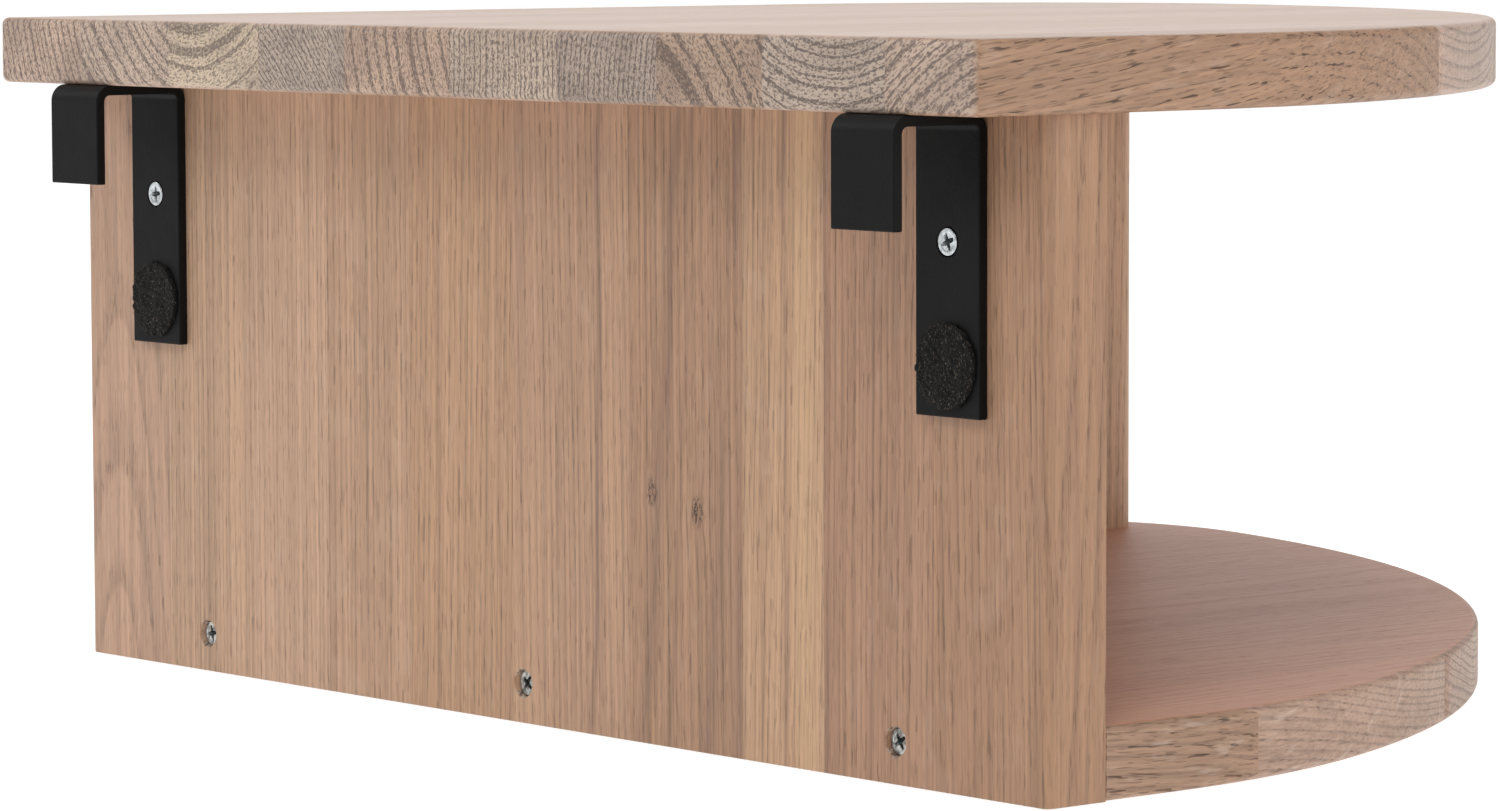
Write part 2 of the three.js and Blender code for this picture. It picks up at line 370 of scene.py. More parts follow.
def placed(piece: bpy.types.Object, node: str, finish: bpy.types.Material) -> bpy.types.Object:
    """Gives a piece its finish and lets it stand for a CAD node.

    Args:
        piece: The piece, in place.
        node: Name of the CAD node.
        finish: The piece's material.

    Returns:
        The same piece.
    """
    piece.data.materials.clear()
    piece.data.materials.append(finish)
    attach(piece, BODY)
    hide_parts(node)
    return piece


# ------------------------------------------------------------------ shader nodes


class Graph:
    """Short ways to add nodes to one node tree."""

    def __init__(self, tree: bpy.types.NodeTree) -> None:
        """Takes the tree that nodes are added to."""
        self.tree = tree

    def put(self, socket: bpy.types.NodeSocket, value: object) -> None:
        """Links a socket, or sets its value.

        Args:
            socket: The input.
            value: An output socket, a number, a colour or a vector.
        """
        if isinstance(value, bpy.types.NodeSocket):
            self.tree.links.new(value, socket)
        elif value is not None:
            socket.default_value = value

    def add(self, kind: str, inputs: dict | None = None, **settings: object) -> bpy.types.Node:
        """A new node.

        Args:
            kind: The node's type, without its ShaderNode prefix.
            inputs: Values or links by input name or number.
            settings: The node's own properties.

        Returns:
            The node.
        """
        node = self.tree.nodes.new(f"ShaderNode{kind}")
        for key, value in settings.items():
            setattr(node, key, value)
        for key, value in (inputs or {}).items():
            self.put(node.inputs[key], value)
        return node

    def math(self, operation: str, *values: object, clamp: bool = False) -> bpy.types.NodeSocket:
        """The result of one arithmetic step."""
        inputs = dict(enumerate(values))
        return self.add("Math", inputs, operation=operation, use_clamp=clamp).outputs[0]

    def times(self, *values: object, clamp: bool = False) -> bpy.types.NodeSocket:
        """Two values multiplied."""
        return self.math("MULTIPLY", *values, clamp=clamp)

    def plus(self, *values: object, clamp: bool = False) -> bpy.types.NodeSocket:
        """Two values added."""
        return self.math("ADD", *values, clamp=clamp)

    def minus(self, *values: object) -> bpy.types.NodeSocket:
        """The second value taken from the first."""
        return self.math("SUBTRACT", *values)

    def vector(self, operation: str, *values: object) -> bpy.types.NodeSocket:
        """The vector that one vector step gives."""
        return self.add("VectorMath", dict(enumerate(values)), operation=operation).outputs[0]

    def length(self, value: object) -> bpy.types.NodeSocket:
        """The length of a vector."""
        return self.add("VectorMath", {0: value}, operation="LENGTH").outputs["Value"]

    def noise(
        self, place: object, stretch: tuple[float, float, float], detail: float = 2.0, rough: float = 0.5
    ) -> bpy.types.NodeSocket:
        """Noise that is stretched by its own waves per metre along each axis.

        Args:
            place: The vector that the noise reads.
            stretch: Waves per metre along the three axes.
            detail: Finer layers.
            rough: Strength of the finer layers.

        Returns:
            The noise, from 0 to 1.
        """
        spot = self.vector("MULTIPLY", place, stretch)
        settings = {"Vector": spot, "Scale": 1.0, "Detail": detail, "Roughness": rough}
        return self.add("TexNoise", settings).outputs[0]

    def span(
        self, value: object, low: float, high: float, start: float = 0.0, end: float = 1.0
    ) -> bpy.types.NodeSocket:
        """A smooth step.

        Args:
            value: What is stepped.
            low: Where the step starts.
            high: Where the step ends.
            start: Result at and before low.
            end: Result at and after high.

        Returns:
            The stepped value.
        """
        inputs = {"Value": value, "From Min": low, "From Max": high, "To Min": start, "To Max": end}
        return self.add("MapRange", inputs, interpolation_type="SMOOTHSTEP").outputs[0]

    def mix(self, share: object, first: object, second: object) -> bpy.types.NodeSocket:
        """Two colours mixed.

        Args:
            share: How much of the second, 0 to 1.
            first: The first colour.
            second: The second colour.

        Returns:
            The mixed colour.
        """
        node = self.add("Mix", data_type="RGBA", blend_type="MIX")
        self.put(node.inputs[0], share)
        self.put(node.inputs[6], first)
        self.put(node.inputs[7], second)
        return node.outputs[2]

    def split(self, value: object) -> tuple[bpy.types.NodeSocket, ...]:
        """The three parts of a vector."""
        return tuple(self.add("SeparateXYZ", {0: value}).outputs)

    def join(self, *values: object) -> bpy.types.NodeSocket:
        """A vector made from three parts."""
        return self.add("CombineXYZ", dict(enumerate(values))).outputs[0]


def new_group(
    name: str, inputs: dict[str, object], outputs: dict[str, str]
) -> tuple[bpy.types.NodeTree, Graph, bpy.types.Node, bpy.types.Node]:
    """A new shader node group with named sockets.

    Args:
        name: The group's name.
        inputs: Default value of each input: a number, three numbers for a vector, four for a colour.
        outputs: Each output's kind: Float, Vector or Color.

    Returns:
        The group, its graph, its input node and its output node.
    """
    tree = bpy.data.node_groups.new(name, "ShaderNodeTree")
    for label, value in inputs.items():
        size = len(value) if isinstance(value, tuple) else 1
        kind = {1: "Float", 3: "Vector", 4: "Color"}[size]
        socket = tree.interface.new_socket(label, in_out="INPUT", socket_type=f"NodeSocket{kind}")
        socket.default_value = value
    for label, kind in outputs.items():
        tree.interface.new_socket(label, in_out="OUTPUT", socket_type=f"NodeSocket{kind}")
    start, end = tree.nodes.new("NodeGroupInput"), tree.nodes.new("NodeGroupOutput")
    return tree, Graph(tree), start, end


def oak_group() -> bpy.types.NodeTree:
    """Oak as a solid: rings round a pith, pores along the grain, and rays that run out from the pith.

    Place is in metres, with the grain along its Z axis. A point's ring number is its distance from the pith,
    bent by slow noise, over the ring width. Pores thicken where a ring starts.

    Returns:
        The node group.
    """
    tree, g, start, end = new_group(
        "OakFigure",
        {
            "Place": (0.0, 0.0, 0.0),
            "Pith": (0.0, 0.0, 0.0),
            "Drift": (0.0, 0.0, 0.0),
            "Axis": (0.0, 0.0, 1.0),
            "Ring": 0.0026,
            "Taper": 0.0,
            "Waver": 0.004,
            "Bulge": 0.0,
            "Rings": 0.5,
            "Pores": 0.5,
            "Rays": 0.3,
            "Streaks": 0.1,
            "Pale": (0.5, 0.4, 0.3, 1.0),
            "Deep": (0.3, 0.2, 0.1, 1.0),
            "Dark": (0.08, 0.05, 0.03, 1.0),
            "Streak": (0.2, 0.13, 0.1, 1.0),
            "End Pale": (0.5, 0.4, 0.3, 1.0),
            "End Deep": (0.2, 0.15, 0.12, 1.0),
            "End Contrast": 1.0,
            "Reach": 0.08,
            "Painted Sheen": 0.0,
            "Sheen Colour": (0.6, 0.5, 0.45, 1.0),
        },
        {"Color": "Color", "Roughness": "Float", "Height": "Float"},
    )
    take = start.outputs
    place = g.vector("ADD", take["Place"], take["Drift"])
    across, over, along = g.split(g.vector("SUBTRACT", take["Place"], take["Pith"]))

    sway = [
        g.times(g.minus(g.noise(place, (s, s, 2.6), 2.0), 0.5), take["Waver"])
        for s in (11.0, 14.0)
    ]
    spread = g.times(sway[0], 2.0)
    lift = g.times(sway[1], 2.0)
    flat = g.join(g.plus(across, spread), g.plus(over, lift), 0.0)
    reach = g.plus(g.length(flat), g.times(along, take["Taper"]))
    reach = g.plus(reach, take["Bulge"])
    uneven = g.noise(g.join(reach, 0.0, 0.0), (110.0, 1.0, 1.0), 1.0)
    count = g.plus(g.math("DIVIDE", reach, take["Ring"]), g.times(uneven, 2.2))
    step = g.math("FRACT", count)
    spring = g.math("MAXIMUM", g.span(step, 0.0, 0.42, 1.0, 0.0), g.span(step, 0.9, 1.0))

    broad = g.noise(place, (48.0, 48.0, 1.6), 2.0)
    cloud = g.noise(place, (9.0, 9.0, 3.0), 2.0)
    fibre = g.noise(place, (1150.0, 1150.0, 26.0), 3.0, 0.62)
    strand = g.noise(place, (560.0, 560.0, 3.6), 3.0, 0.6)
    pore = g.span(g.noise(place, (2100.0, 2100.0, 150.0), 1.0), 0.56, 0.68)
    short = g.span(g.noise(place, (1500.0, 1500.0, 150.0), 0.5), 0.61, 0.67)
    pore = g.math("MAXIMUM", g.times(pore, 0.5), short)
    pore = g.times(pore, g.plus(g.times(spring, 0.55), 0.45))
    pore = g.times(pore, take["Pores"], clamp=True)

    angle = g.math("ARCTAN2", g.plus(over, lift), g.plus(across, spread))
    fan = g.vector("MULTIPLY", g.join(angle, reach, along), (46.0, 34.0, 70.0))
    ray = g.span(g.noise(fan, (1.0, 1.0, 1.0), 2.0), 0.57, 0.7)
    ray = g.times(ray, take["Rays"])

    slim = g.math("ABSOLUTE", g.minus(g.noise(place, (64.0, 64.0, 2.0), 2.0), 0.5))
    wide = g.math("ABSOLUTE", g.minus(g.noise(place, (26.0, 26.0, 1.4), 1.5), 0.47))
    vein = g.math("MAXIMUM", g.span(slim, 0.0, 0.03, 0.8, 0.0), g.span(wide, 0.0, 0.085, 1.0, 0.0))
    vein = g.times(vein, g.plus(g.times(strand, 0.9), 0.35))
    vein = g.times(g.times(vein, g.span(cloud, 0.4, 0.6)), take["Streaks"], clamp=True)

    tone = g.times(spring, take["Rings"])
    for part, weight in ((broad, 0.6), (cloud, 0.4), (strand, 1.5), (fibre, 1.15)):
        tone = g.plus(tone, g.times(g.minus(part, 0.5), weight))
    tone = g.plus(tone, 0.3, clamp=True)
    colour = g.mix(tone, take["Pale"], take["Deep"])
    colour = g.mix(vein, colour, take["Streak"])
    colour = g.mix(pore, colour, take["Dark"])
    colour = g.mix(ray, colour, g.mix(0.4, take["Pale"], (1.0, 0.95, 0.88, 1.0)))

    polar = g.join(g.times(angle, take["Reach"]), reach, along)
    dash = g.noise(polar, (720.0, 1500.0, 100.0), 2.0, 0.6)
    net = g.noise(polar, (900.0, 70.0, 100.0), 1.0)
    thread = g.noise(place, (1500.0, 1500.0, 300.0), 2.0, 0.65)
    light = g.plus(g.span(spring, 0.1, 0.9, 0.45, 0.0), g.span(dash, 0.4, 0.58, 0.1, 0.62))
    light = g.math("MAXIMUM", light, g.span(net, 0.6, 0.68, 0.0, 0.7))
    light = g.plus(light, g.times(g.minus(thread, 0.5), 1.1), clamp=True)
    light = g.times(g.minus(light, 0.63), g.times(take["End Contrast"], 1.5))
    light = g.plus(0.45, light, clamp=True)
    butted = g.mix(light, take["End Deep"], take["End Pale"])
    butted = g.mix(g.span(broad, 0.35, 0.7, 0.0, 0.35), butted, take["End Deep"])

    normal = g.add("NewGeometry").outputs["Normal"]
    facing = g.add("VectorMath", {0: normal, 1: take["Axis"]}, operation="DOT_PRODUCT").outputs["Value"]
    butt = g.span(g.math("ABSOLUTE", facing), 0.3, 0.92)
    # Painted sheen: faces that look up get the sheen colour laid over them, a paler top that stands in for
    # glancing light.
    upward = g.span(g.split(normal)[2], 0.8, 0.99, 0.0, 1.0)
    colour = g.mix(g.times(upward, take["Painted Sheen"]), colour, take["Sheen Colour"])
    g.put(end.inputs["Color"], g.mix(butt, colour, butted))
    rough = g.plus(g.times(fibre, 0.16), g.times(pore, 0.2))
    g.put(end.inputs["Roughness"], g.plus(rough, 0.46))
    height = g.minus(g.times(fibre, 0.5), g.times(pore, 0.9))
    height = g.minus(height, g.times(spring, 0.25))
    ends = g.times(g.minus(light, height), butt)
    height = g.plus(height, ends)
    g.put(end.inputs["Height"], height)
    return tree


def knot_group() -> bpy.types.NodeTree:
    """A knot that runs through a board: it pushes the rings aside and is dark in the middle.

    The push is a bell curve of the distance from the knot's line, and the dark core is a step of it.

    Returns:
        The node group.
    """
    tree, g, start, end = new_group(
        "Knot",
        {"Place": (0.0, 0.0, 0.0), "Centre": (0.0, 0.0, 0.0), "Radius": 0.002, "Push": 0.004, "Spread": 0.01},
        {"Bulge": "Float", "Core": "Float"},
    )
    take = start.outputs
    away = g.vector("MULTIPLY", g.vector("SUBTRACT", take["Place"], take["Centre"]), (1.0, 0.0, 0.62))
    rough = g.times(g.noise(take["Place"], (420.0, 420.0, 300.0), 2.0), take["Radius"])
    half = g.times(take["Radius"], 0.5)
    distance = g.minus(g.plus(g.length(away), rough), half)
    share = g.math("DIVIDE", g.length(away), take["Spread"])
    bell = g.math("EXPONENT", g.times(g.times(share, share), -1.0))
    g.put(end.inputs["Bulge"], g.times(bell, take["Push"]))
    inner = g.math("DIVIDE", distance, take["Radius"])
    specks = g.span(g.noise(take["Place"], (1300.0, 1300.0, 620.0), 2.0, 0.7), 0.46, 0.56, 0.15, 1.0)
    g.put(end.inputs["Core"], g.times(g.span(inner, 0.4, 1.5, 1.0, 0.0), specks))
    return tree


def vein_group() -> bpy.types.NodeTree:
    """One dark streak that follows the grain: a soft line across X that sways along the grain.

    Its strength is a bell curve of the distance from the line, broken up by fine strands.

    Returns:
        The node group.
    """
    tree, g, start, end = new_group(
        "Vein",
        {"Place": (0.0, 0.0, 0.0), "Centre": 0.0, "Width": 0.001, "Strength": 0.5, "Lean": 0.0},
        {"Mask": "Float"},
    )
    take = start.outputs
    across, _, along = g.split(take["Place"])
    across = g.minus(across, g.times(along, take["Lean"]))
    sway = g.minus(g.noise(take["Place"], (3.0, 3.0, 9.0), 2.0), 0.5)
    apart = g.minus(g.plus(across, g.times(sway, 0.012)), take["Centre"])
    share = g.math("DIVIDE", apart, take["Width"])
    bell = g.math("EXPONENT", g.times(g.times(share, share), -1.0))
    strand = g.span(g.noise(take["Place"], (900.0, 900.0, 6.0), 2.0), 0.3, 0.62, 0.35, 1.0)
    patchy = g.span(g.noise(take["Place"], (20.0, 20.0, 14.0), 1.0), 0.3, 0.6, 0.35, 1.0)
    mask = g.times(g.times(bell, strand), g.times(patchy, take["Strength"]))
    g.put(end.inputs["Mask"], mask)
    return tree


def grime_group() -> bpy.types.NodeTree:
    """Fine mottle for metal: slow clouds and small specks.

    Returns:
        The node group.
    """
    tree, g, start, end = new_group(
        "Mottle",
        {"Place": (0.0, 0.0, 0.0), "Coarse": 160.0, "Fine": 1500.0},
        {"Cloud": "Float", "Grit": "Float"},
    )
    take = start.outputs
    place = take["Place"]
    cloud = g.add("TexNoise", {"Vector": place, "Scale": take["Coarse"], "Detail": 3.0}).outputs[0]
    fine = {"Vector": place, "Scale": take["Fine"], "Detail": 2.0, "Roughness": 0.7}
    grit = g.add("TexNoise", fine).outputs[0]
    g.put(end.inputs["Cloud"], cloud)
    g.put(end.inputs["Grit"], grit)
    return tree


# ------------------------------------------------------------------ finishes


class Grain(Enum):
    """Which way a board's grain runs, as the turn that lays it along Z and its direction."""

    DEPTH = ((math.pi / 2, 0.0, 0.0), (0.0, 1.0, 0.0))
    UPRIGHT = ((0.0, 0.0, 0.0), (0.0, 0.0, 1.0))


GROUPS = {"oak": oak_group(), "knot": knot_group(), "vein": vein_group(), "mottle": grime_group()}


def shader(name: str) -> tuple[bpy.types.Material, Graph, bpy.types.Node]:
    """A new material with only its Principled shader.

    Args:
        name: The material's name.

    Returns:
        The material, its graph and its shader.
    """
    material = bpy.data.materials.new(name)
    material.use_nodes = True
    graph = Graph(material.node_tree)
    principled = next(n for n in material.node_tree.nodes if n.type == "BSDF_PRINCIPLED")
    return material, graph, principled


def bumped(
    graph: Graph, principled: bpy.types.Node, height: object, distance: float, strength: float
) -> None:
    """Feeds a height to a shader's normal.

    Args:
        graph: The material's graph.
        principled: The shader.
        height: The height, from 0 to 1.
        distance: How far one unit of height stands out, in metres.
        strength: Share of the effect, 0 to 1.
    """
    bump = graph.add("Bump", {"Height": height, "Distance": distance, "Strength": strength})
    graph.put(principled.inputs["Normal"], bump.outputs[0])


@dataclass(frozen=True)
class Knot:
    """A knot in a stave, by its place in the board's own grain space."""

    centre: tuple[float, float, float]
    radius: float
    push: float = 0.0012
    spread: float = 0.006


@dataclass(frozen=True)
class Vein:
    """A streak along the grain of an upright stave: where it crosses the foot, and how it leans."""

    centre: float
    width: float
    strength: float
    lean: float = 0.0
    tone: tuple[int, int, int] = (120, 92, 80)


@dataclass(frozen=True)
class OakFinish:
    """Sanded oak with its own place in the log, and a painted sheen on the faces that look up.

    Rings, pores, rays and streaks are strengths from 0 to 1. Ring is a ring's width, taper its change
    along the grain and waver how far the rings wander. The painted sheen is painted light: it lays the sheen
    colour over faces that look up, so tops look paler, as if lit at a glancing angle.
    """

    name: str
    grain: Grain
    pale: tuple[int, int, int]
    deep: tuple[int, int, int]
    dark: tuple[int, int, int] = (88, 66, 52)
    pith: tuple[float, float] = (0.0, 0.0)
    drift: tuple[float, float, float] = (0.0, 0.0, 0.0)
    ring: float = 0.0026
    taper: float = 0.0
    waver: float = 0.004
    rings: float = 0.45
    pores: float = 0.5
    rays: float = 0.25
    streaks: float = 0.06
    streak: tuple[int, int, int] = (126, 98, 86)
    end_pale: tuple[int, int, int] = (196, 176, 158)
    end_deep: tuple[int, int, int] = (112, 90, 80)
    end_contrast: float = 1.35
    reach: float = 0.08
    # Painted sheen: how much of the sheen colour is painted over upward faces, and that colour.
    painted_sheen: float = 0.0
    sheen_colour: tuple[int, int, int] = (198, 176, 163)
    tilt: float = 0.0
    coat: float = 0.12
    veins: tuple[Vein, ...] = ()
    knots: tuple[Knot, ...] = ()

    def material(self) -> bpy.types.Material:
        """The finish as a material."""
        material, g, principled = shader(self.name)
        turn, axis = self.grain.value
        place = g.add("TexCoord").outputs["Object"]
        turn = (turn[0] + self.tilt, turn[1], turn[2])
        place = g.add("Mapping", {"Vector": place, "Rotation": Euler(turn)}).outputs[0]
        bulge, core = 0.0, 0.0
        for knot in self.knots:
            node = g.add("Group", node_tree=GROUPS["knot"])
            for key, value in {
                "Place": place, "Centre": knot.centre, "Radius": knot.radius,
                "Push": knot.push, "Spread": knot.spread,
            }.items():
                g.put(node.inputs[key], value)
            bulge = g.plus(bulge, node.outputs["Bulge"])
            core = g.math("MAXIMUM", core, node.outputs["Core"])
        oak = g.add("Group", node_tree=GROUPS["oak"])
        for key, value in {
            "Place": place, "Pith": (*self.pith, 0.0), "Drift": self.drift, "Axis": axis,
            "Ring": self.ring, "Taper": self.taper, "Waver": self.waver, "Bulge": bulge,
            "Rings": self.rings, "Pores": self.pores, "Rays": self.rays, "Streaks": self.streaks,
            "Pale": linear(*self.pale), "Deep": linear(*self.deep), "Dark": linear(*self.dark),
            "Streak": linear(*self.streak), "End Pale": linear(*self.end_pale),
            "End Deep": linear(*self.end_deep), "End Contrast": self.end_contrast,
            "Reach": self.reach, "Painted Sheen": self.painted_sheen, "Sheen Colour": linear(*self.sheen_colour),
        }.items():
            g.put(oak.inputs[key], value)
        colour = oak.outputs["Color"]
        if self.knots:
            colour = g.mix(core, colour, linear(70, 50, 38))
        for vein in self.veins:
            values = {"Place": place, "Centre": vein.centre, "Width": vein.width,
                      "Strength": vein.strength, "Lean": vein.lean}
            node = g.add("Group", values, node_tree=GROUPS["vein"])
            colour = g.mix(node.outputs["Mask"], colour, linear(*vein.tone))
        g.put(principled.inputs["Base Color"], colour)
        g.put(principled.inputs["Roughness"], oak.outputs["Roughness"])
        principled.inputs["Specular IOR Level"].default_value = 0.35
        principled.inputs["Coat Weight"].default_value = self.coat
        principled.inputs["Coat Roughness"].default_value = 0.32
        bumped(g, principled, oak.outputs["Height"], 0.00035, 0.55)
        return material


@dataclass(frozen=True)
class PowderCoat:
    """Matt black powder coat with a fine orange-peel grain."""

    name: str = "black_powder_coat"

    def material(self) -> bpy.types.Material:
        """The finish as a material."""
        material, g, principled = shader(self.name)
        mottle = g.add("Group", node_tree=GROUPS["mottle"])
        g.put(mottle.inputs["Place"], g.add("TexCoord").outputs["Object"])
        grit = mottle.outputs["Grit"]
        g.put(principled.inputs["Base Color"], g.mix(grit, linear(8, 8, 8), linear(20, 20, 20)))
        cloud = g.times(mottle.outputs["Cloud"], 0.14)
        g.put(principled.inputs["Roughness"], g.plus(cloud, 0.44))
        principled.inputs["Specular IOR Level"].default_value = 0.13
        bumped(g, principled, grit, 0.00012, 0.6)
        return material


@dataclass(frozen=True)
class ZincPlate:
    """Bright zinc plating, a little dulled, with painted shade that darkens the screw's recess the deeper it
    goes.
    """

    name: str
    bright: tuple[int, int, int] = (214, 220, 222)
    dull: tuple[int, int, int] = (176, 180, 182)
    # pit is the colour of the painted shade laid into the recess.
    pit: tuple[int, int, int] = (50, 62, 64)
    rough: float = 0.2

    def material(self) -> bpy.types.Material:
        """The finish as a material."""
        material, g, principled = shader(self.name)
        mottle = g.add("Group", node_tree=GROUPS["mottle"])
        g.put(mottle.inputs["Place"], g.add("TexCoord").outputs["Object"])
        mottle.inputs["Coarse"].default_value = 700.0
        cloud = g.span(mottle.outputs["Cloud"], 0.35, 0.7)
        # Painted shade: the deeper a point sits in the recess (the sunk attribute), the more of the pit
        # colour it takes.
        sunk = g.span(g.add("Attribute", attribute_name="sunk").outputs["Fac"], 0.1, 0.75)
        plate = g.mix(cloud, linear(*self.bright), linear(*self.dull))
        shade = g.times(sunk, 0.88)
        g.put(principled.inputs["Base Color"], g.mix(shade, plate, linear(*self.pit)))
        principled.inputs["Metallic"].default_value = 1.0
        rough = g.plus(g.times(cloud, 0.12), self.rough)
        g.put(principled.inputs["Roughness"], g.plus(rough, g.times(sunk, 0.2)))
        bumped(g, principled, mottle.outputs["Grit"], 0.00003, 0.5)
        return material


@dataclass(frozen=True)
class WoolFelt:
    """Black pressed wool felt, with fine hairs: real fibres whose pale colour is painted sheen."""

    name: str = "black_felt"
    core: tuple[int, int, int] = (5, 5, 5)
    nap: tuple[int, int, int] = (19, 18, 18)
    # The hairs' pale colour is painted sheen on real fibres.
    hair_sheen: tuple[int, int, int] = (112, 102, 94)

    def material(self) -> bpy.types.Material:
        """The finish as a material."""
        material, g, principled = shader(self.name)
        place = g.add("TexCoord").outputs["Object"]
        curl = g.noise(place, (700.0, 700.0, 700.0), 4.0, 0.7)
        # Painted sheen: fine hairs in the felt take a pale colour that stands in for grazing light catching
        # the fibres.
        hair_sheen = g.span(g.noise(place, (3200.0, 900.0, 1500.0), 2.0), 0.58, 0.74)
        colour = g.mix(curl, linear(*self.core), linear(*self.nap))
        light = g.times(hair_sheen, 0.75)
        g.put(principled.inputs["Base Color"], g.mix(light, colour, linear(*self.hair_sheen)))
        g.put(principled.inputs["Roughness"], g.plus(g.times(curl, 0.1), 0.9))
        principled.inputs["Sheen Weight"].default_value = 0.05
        principled.inputs["Specular IOR Level"].default_value = 0.1
        principled.inputs["Sheen Roughness"].default_value = 0.6
        bumped(g, principled, curl, 0.0004, 0.8)
        return material


# ------------------------------------------------------------------ boards


def stave_names(board: str) -> list[str]:
    """The CAD nodes of a board's staves, in order."""
    return sorted(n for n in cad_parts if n.startswith(f"{board}_stave_"))


@dataclass
class PlanShape:
    """The D-shaped plan that the top and the shelf share, in metres."""

    half_width: float = 0.221
    rear: float = 0.182
    depth: float = 0.3925
    side_straight: float = 0.048
    side_radius: float = 0.240
    side_sweep: float = math.radians(20)
    corner_radius: float = 0.100
    side_steps: int = 10
    front_steps: int = 46
    corner_steps: int = 34
    rear_steps: int = 5

    def outline(self, grow: float, rear: float, corner: float) -> np.ndarray:
        """The outline: two straight sides, three arcs that run into each other, and a straight rear.

        The long front arc touches the side arc and the corner circle, so its radius follows from both.

        Args:
            grow: How far the outline stands outside the plan.
            rear: Place of the straight rear edge along Y.
            corner: Radius of the two rear corners.

        Returns:
            The points, anticlockwise from above.
        """
        front = self.rear - self.depth
        corner_at = np.array([self.half_width - self.corner_radius, front + self.corner_radius])
        towards = np.array([math.cos(self.side_sweep), math.sin(self.side_sweep)])
        side_at = np.array([self.side_radius - self.half_width, self.rear - self.side_straight])
        start = side_at - towards * self.side_radius
        offset = start - corner_at
        radius = (self.corner_radius**2 - offset @ offset) / (2 * (offset @ towards + self.corner_radius))
        front_at = start + towards * radius
        end = math.atan2(*(corner_at - front_at)[::-1]) + FULL_TURN
        first = math.pi + self.side_sweep
        left, right = -self.half_width - grow, self.half_width + grow
        rear_round = eased(
            [(left, self.rear - self.side_straight), (right, corner_at[1]), (right, rear), (left, rear)],
            [0, 0, corner, corner],
            self.rear_steps,
        )
        left_round = self.rear_steps + 1
        return np.concatenate(
            [
                rear_round[-left_round:],
                arc(tuple(side_at), self.side_radius + grow, math.pi, first, self.side_steps),
                arc(tuple(front_at), radius + grow, first, end, self.front_steps)[1:],
                arc(tuple(corner_at), self.corner_radius + grow, end, FULL_TURN, self.corner_steps)[1:],
                rear_round[2:-left_round],
            ]
        )


@dataclass
class StaveBoard:
    """A solid board glued up from staves, each its own piece."""

    name: str
    grain: Grain
    axis: int
    finishes: tuple[OakFinish, ...]
    arris: float = 2.2 * MM
    rear_gain: float = 0.2 * MM

    def nodes(self) -> list[str]:
        """The CAD nodes of this board's staves, in order."""
        return stave_names(self.name)

    def span(self) -> tuple[Vector, Vector]:
        """The lowest and highest corner of the whole board."""
        boxes = [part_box(n) for n in self.nodes()]
        low = Vector(np.min([b[0] for b in boxes], 0))
        return low, Vector(np.max([b[1] for b in boxes], 0))

    def whole(self) -> Skin:
        """The board before it is cut into staves."""
        raise NotImplementedError

    def cutters(self, node: str) -> list[Skin]:
        """Spaces to take out of one stave."""
        return []

    def build(self) -> list[bpy.types.Object]:
        """Cuts the board into its staves and dresses each.

        Returns:
            The stave pieces.
        """
        board, made = self.whole(), []
        for node, finish in zip(self.nodes(), self.finishes):
            low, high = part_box(node)
            part = sliced(board, self.axis, low[self.axis], high[self.axis])
            piece = carved(part.piece(f"{node}_oak"), self.cutters(node))
            made.append(placed(finished(piece), node, finish.material()))
        return made


@dataclass
class RoundedBoard(StaveBoard):
    """The top or the shelf: the D-shaped plan with rounded edges."""

    plan: PlanShape = None
    grow: float = 0.0

    def whole(self) -> Skin:
        """The plan carried upwards through the board's thickness."""
        low, high = self.span()
        outline = self.plan.outline(self.grow, high.y, self.arris + self.rear_gain)
        return rounded_slab(outline, low.z, high.z, self.arris, self.arris, 2)


@dataclass
class Shelf(RoundedBoard):
    """The bottom shelf, which butts flat against the back panel."""

    def whole(self) -> Skin:
        """The plan up to the panel's rear, cut off at the panel's front."""
        low, high = self.span()
        outline = self.plan.outline(self.grow, self.plan.rear, self.arris + self.rear_gain)
        slab = rounded_slab(outline, low.z, high.z, self.arris, self.arris, 2)
        return sliced(slab, 1, low.y - self.arris, high.y)


